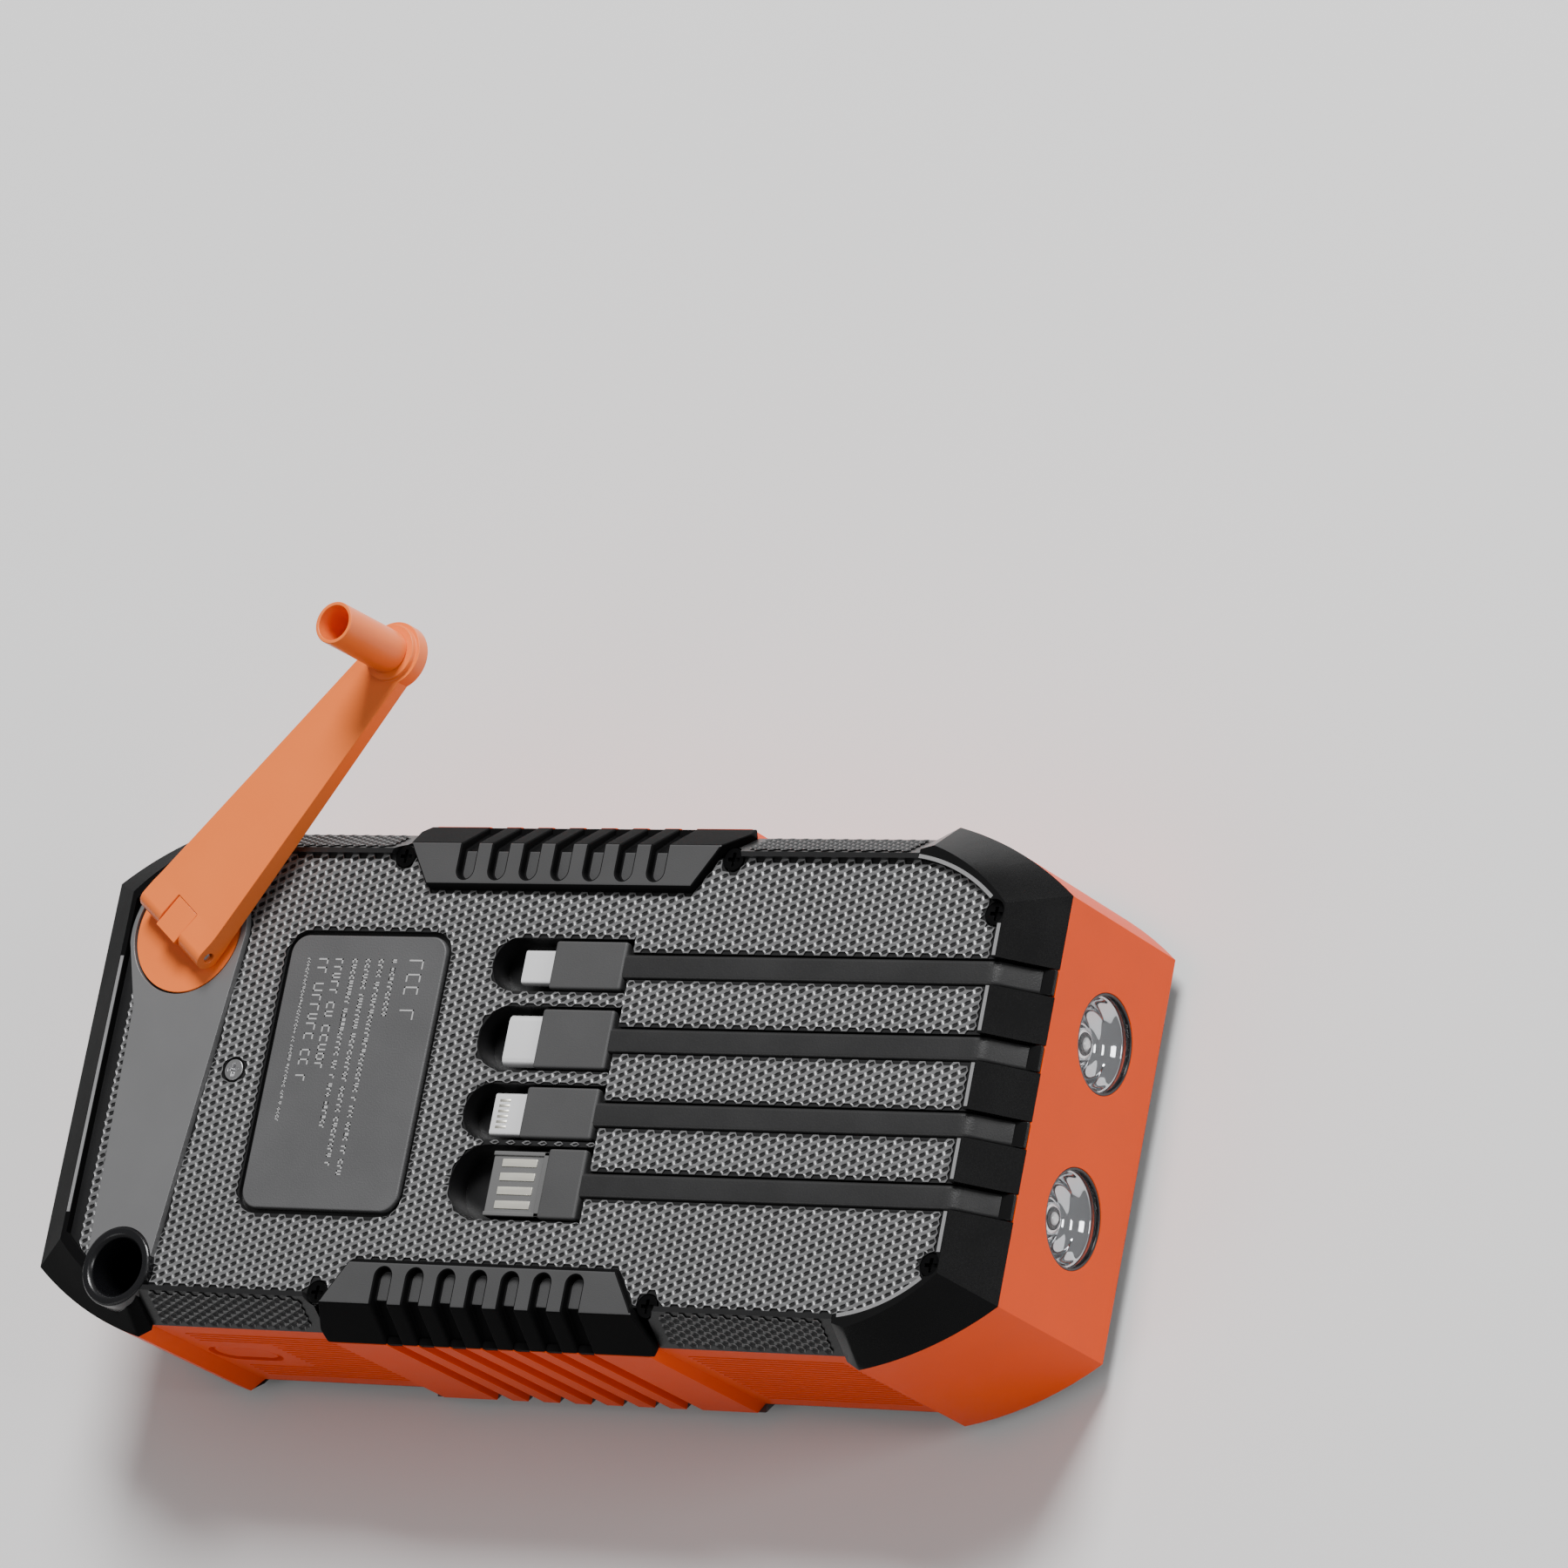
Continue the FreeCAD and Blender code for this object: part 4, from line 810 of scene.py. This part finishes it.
def makeSlimTip(number):
    body = f"lead_{number}"
    low, high = span(body + "_tip")
    plugLow, plugHigh = span(body + "_plug")
    look = slimLook
    back = plugLow.x + look["back"]
    top = plugHigh.z - look["sunk"]
    bm = bmesh.new()
    addBlock(bm, (low.x, low.y, low.z), (back, high.y, top - look["boardDrop"]), 0.2)
    tongue = settle(bm, body + "_board", "plugTongue", body)
    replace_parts(tongue, body + "_tip")
    bm = bmesh.new()
    for y0, y1 in ((low.y, low.y + look["frame"]), (high.y - look["frame"], high.y)):
        addBlock(bm, (low.x, y0, low.z), (back, y1, top), 0.15)
    addBlock(bm, (back - look["bar"], low.y, low.z), (back, high.y, top), 0.15)
    settle(bm, body + "_frame", "plugTongue", body)
    bm = bmesh.new()
    pitch = (high.y - low.y - look["frame"] * 2) / look["contacts"]
    for contact in range(look["contacts"]):
        y = low.y + look["frame"] + pitch * (contact + 0.5)
        addBlock(bm, (low.x + look["contactFrom"], y - look["contactHalf"], top - 0.3),
                 (low.x + look["contactTo"], y + look["contactHalf"], top - 0.1), 0.06, 1)
    settle(bm, body + "_contacts", "contactMetal", body)


def makeSideContacts(number):  # the small flat plug's row of pads
    body = f"lead_{number}"
    low, high = span(body + "_tip")
    bm = bmesh.new()
    for contact in range(6):
        y = low.y + (high.y - low.y) * (contact + 1.5) / 8
        addBlock(bm, (low.x + 0.9, y - 0.24, high.z - 0.1), (low.x + 2.9, y + 0.24, high.z + 0.03),
                 0.04, 1)
    settle(bm, body + "_contacts", "contactMetal", body)


for number in leadLook["numbers"]:
    makeStrap(number)
    makePlug(number)
    if number == 4:
        makeSlimTip(number)
    else:
        makeTip(number)
makeSideContacts(3)


# black feet that close the notches under the straps' ends, measured from the straps' ends
toeLook = {"back": 1.2, "low": 4.9, "high": 4.2, "side": 0.1, "edge": 0.25}


def makeToes():
    bm = bmesh.new()
    rootHigh = span("lead_roots")[1]
    endX = span("lamp_end_bumper")[1].x
    for number in leadLook["numbers"]:
        low, high = span(f"lead_{number}_strap")
        addBlock(bm, (rootHigh.x - toeLook["back"], low.y - toeLook["side"],
                      rootHigh.z - toeLook["low"]),
                 (endX - toeLook["side"], high.y + toeLook["side"], rootHigh.z - toeLook["high"]),
                 toeLook["edge"])
    settle(bm, "strap_toes", "blackGloss")


makeToes()
print("leads ready")


# the hinge pin's bright ends; place: a share of the hub's width, out from its middle
pinLook = {"place": 0.36, "slack": 0.02, "length": 1.0, "round": 0.14, "chamfer": 0.2}


def makePinEnds():
    low, high = span("hinge_pin")
    middle = (low + high) / 2
    look, radius = pinLook, (high.z - low.z) / 2
    end1, end2 = look["length"] + look["round"] - 0.02, look["length"] + look["round"]
    axis = Vector((low.x - high.x, high.y - low.y, 0)).normalized()
    reach = span("crank_hub")[1].x - span("crank_hub")[0].x
    bm = bmesh.new()
    for end in (-1, 1):
        addTurned(bm, ((0.0, radius - look["slack"]), (look["length"], radius - look["slack"]),
                       (end1, radius - look["chamfer"]), (end2, look["slack"])), (0, 0, 0), 32)
        turn = Vector((1, 0, 0)).rotation_difference(axis * end).to_matrix().to_4x4()
        fresh = [vert for vert in bm.verts if not vert.tag]
        bmesh.ops.transform(bm, verts=fresh, matrix=Matrix.Translation(
            middle + axis * end * reach * look["place"]) @ turn)
        for vert in bm.verts:
            vert.tag = True
    settle(bm, "hinge_pin_ends", "pinSteel", "crank_spindle")


makePinEnds()


# torch cup: start, depth, radii, how it flares, ripples and height; other parts: place and radius
lampLook = {"start": 83.0, "depth": 4.2, "inner": 1.9, "outer": 7.0, "flare": 0.62,
            "ripples": 2.5, "ripple": 0.28, "steps": 40,
            "rim": [(87.25, 7.25), (87.25, 7.55), (86.6, 7.6), (83.6, 7.6)],
            "emitter": ((83.1, 1.0), (85.3, 1.0), (85.6, 0.7), (85.7, 0.05)),
            "stem": ((83.1, 1.75), (85.2, 1.72), (85.3, 1.5), (85.3, 1.02), (85.0, 1.0)),
            "halo": ((83.1, 2.45), (84.9, 2.4), (85.1, 2.2), (85.05, 1.78), (84.7, 1.76)),
            "collar": ((83.1, 3.0), (84.2, 2.9), (84.3, 2.5), (83.8, 2.46)),
            # the black ring round each lens is painted shade standing in for the lens's contact
            # shadow
            "painted_shadow_ring": ((87.7, 7.2), (88.35, 7.22), (88.5, 7.35), (88.5, 7.6), (88.0, 7.65)),
            "lens": ((87.35, 0.05), (87.35, 7.3), (87.8, 7.38), (88.1, 7.1), (88.28, 4.5),
                     (88.3, 0.05))}


def cupProfile():
    look, profile = lampLook, []
    for step in range(look["steps"] + 1):
        share = step / look["steps"]
        wave = math.sin(share * look["ripples"] * 2 * math.pi) * look["ripple"] * (1 - share)
        radius = look["inner"] + (look["outer"] - look["inner"]) * share ** look["flare"]
        profile.append((look["start"] + look["depth"] * share, radius + wave))
    return profile + look["rim"]


def makeTorches():
    low, high = span("lamp_lenses")
    radius = (high.z - low.z) / 2
    z = (low.z + high.z) / 2
    for part, nodeName, finishName, slotName in (
            # the cup's darkened chrome is painted shade
            ("cup", "lamp_reflectors", "mirrorWithPaintedShade", "reflector"),
            ("emitter", "lamp_leds", "whiteAndPaintedReflection", "lamp_led"),
            ("stem", "lamp_leds", "pocketBlack", "lamp_led"),
            ("halo", "lamp_leds", "trimSilver", "lamp_led"),
            ("collar", "lamp_leds", "pocketBlack", "lamp_led"),
            # black ring round each lens: painted shade
            ("painted_shadow_ring", "lamp_lenses", "pocketBlack", "lens"),
            ("lens", "lamp_lenses", "lensClear", "lens")):
        bm = bmesh.new()
        for y in (low.y + radius, high.y - radius):
            addTurned(bm, cupProfile() if part == "cup" else lampLook[part], (0, y, z))
        piece = settle(bm, "torch_" + part, finishName)
        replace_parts(piece, nodeName)


makeTorches()
print("torches ready")


# solar face: fingers and bus lines on the cells
cellLook = {"columns": 10, "pitch": 14.2, "first": -68.1, "length": 12.9, "width": 29.0,
            "gap": 3.5, "fingers": 7, "fingerWide": 0.14, "busWide": 0.5,
            "margin": 0.3, "busMargin": 0.2, "proud": 0.03, "busProud": 0.04, "sink": 0.02}


def makeFingers():
    bm = bmesh.new()
    level = span("solar_cells")[0].z
    look = cellLook
    for column in range(look["columns"]):
        x = look["first"] + column * look["pitch"]
        end = x + look["length"]
        for side in (-1, 1):
            near, far = sorted((side * look["gap"] / 2, side * (look["gap"] / 2 + look["width"])))
            for finger in range(look["fingers"]):
                line = x + look["length"] * (finger + 0.5) / look["fingers"]
                addBlock(bm, (line - look["fingerWide"] / 2, near + look["margin"],
                              level - look["proud"]),
                         (line + look["fingerWide"] / 2, far - look["margin"],
                          level + look["sink"]))
            bus = near + look["busMargin"]
            addBlock(bm, (x + look["margin"], bus, level - look["busProud"]),
                     (end - look["margin"], bus + look["busWide"], level + look["sink"]))
    settle(bm, "cell_fingers", "cellSilver", even=False)


makeFingers()


# rubber that fills the top of the orange ribs, under the grips
capLook = {"halfLong": 28.8, "inner": 39.6, "outer": 41.3, "deep": 1.0, "proud": 0.03}


def makeRibCaps():
    bm = bmesh.new()
    top = span("mid_band")[1].z
    for side in (-1, 1):
        near, far = sorted((side * capLook["inner"], side * capLook["outer"]))
        addBlock(bm, (-capLook["halfLong"], near, top - capLook["deep"]),
                 (capLook["halfLong"], far, top + capLook["proud"]))
    settle(bm, "rib_caps", "blackDull", even=False)


# fine ribs on the orange sides, between the guards and the grips, with room for the button
ribLook = {"pitch": 1.25, "tall": 0.45, "lift": 0.14, "xLow": 33.2, "xHigh": 61.0, "y": 40.0,
           "zLow": 7.0, "zHigh": 31.0, "above": 2.5, "beside": 3.0}


def makeSideRibs():
    bm = bmesh.new()
    buttonLow, buttonHigh = span("power_button")
    half, room = ribLook["y"], ribLook["above"]
    rows = int((ribLook["zHigh"] - ribLook["zLow"]) / ribLook["pitch"])
    for side in (-1, 1):
        for end in (-1, 1):
            for row in range(rows):
                z = ribLook["zLow"] + row * ribLook["pitch"]
                left, right = sorted((end * ribLook["xLow"], end * ribLook["xHigh"]))
                atButton = buttonLow.z - room < z < buttonHigh.z + room
                if side < 0 and end < 0 and atButton:
                    left = buttonHigh.x + ribLook["beside"]
                addBlock(bm, (left, side * half - ribLook["lift"], z),
                         (right, side * half + ribLook["lift"], z + ribLook["tall"]), 0.1, 1)
    settle(bm, "side_ribs", "orangeShell")


makeRibCaps()
makeSideRibs()
print("sides and solar face ready")

print("pieces done")
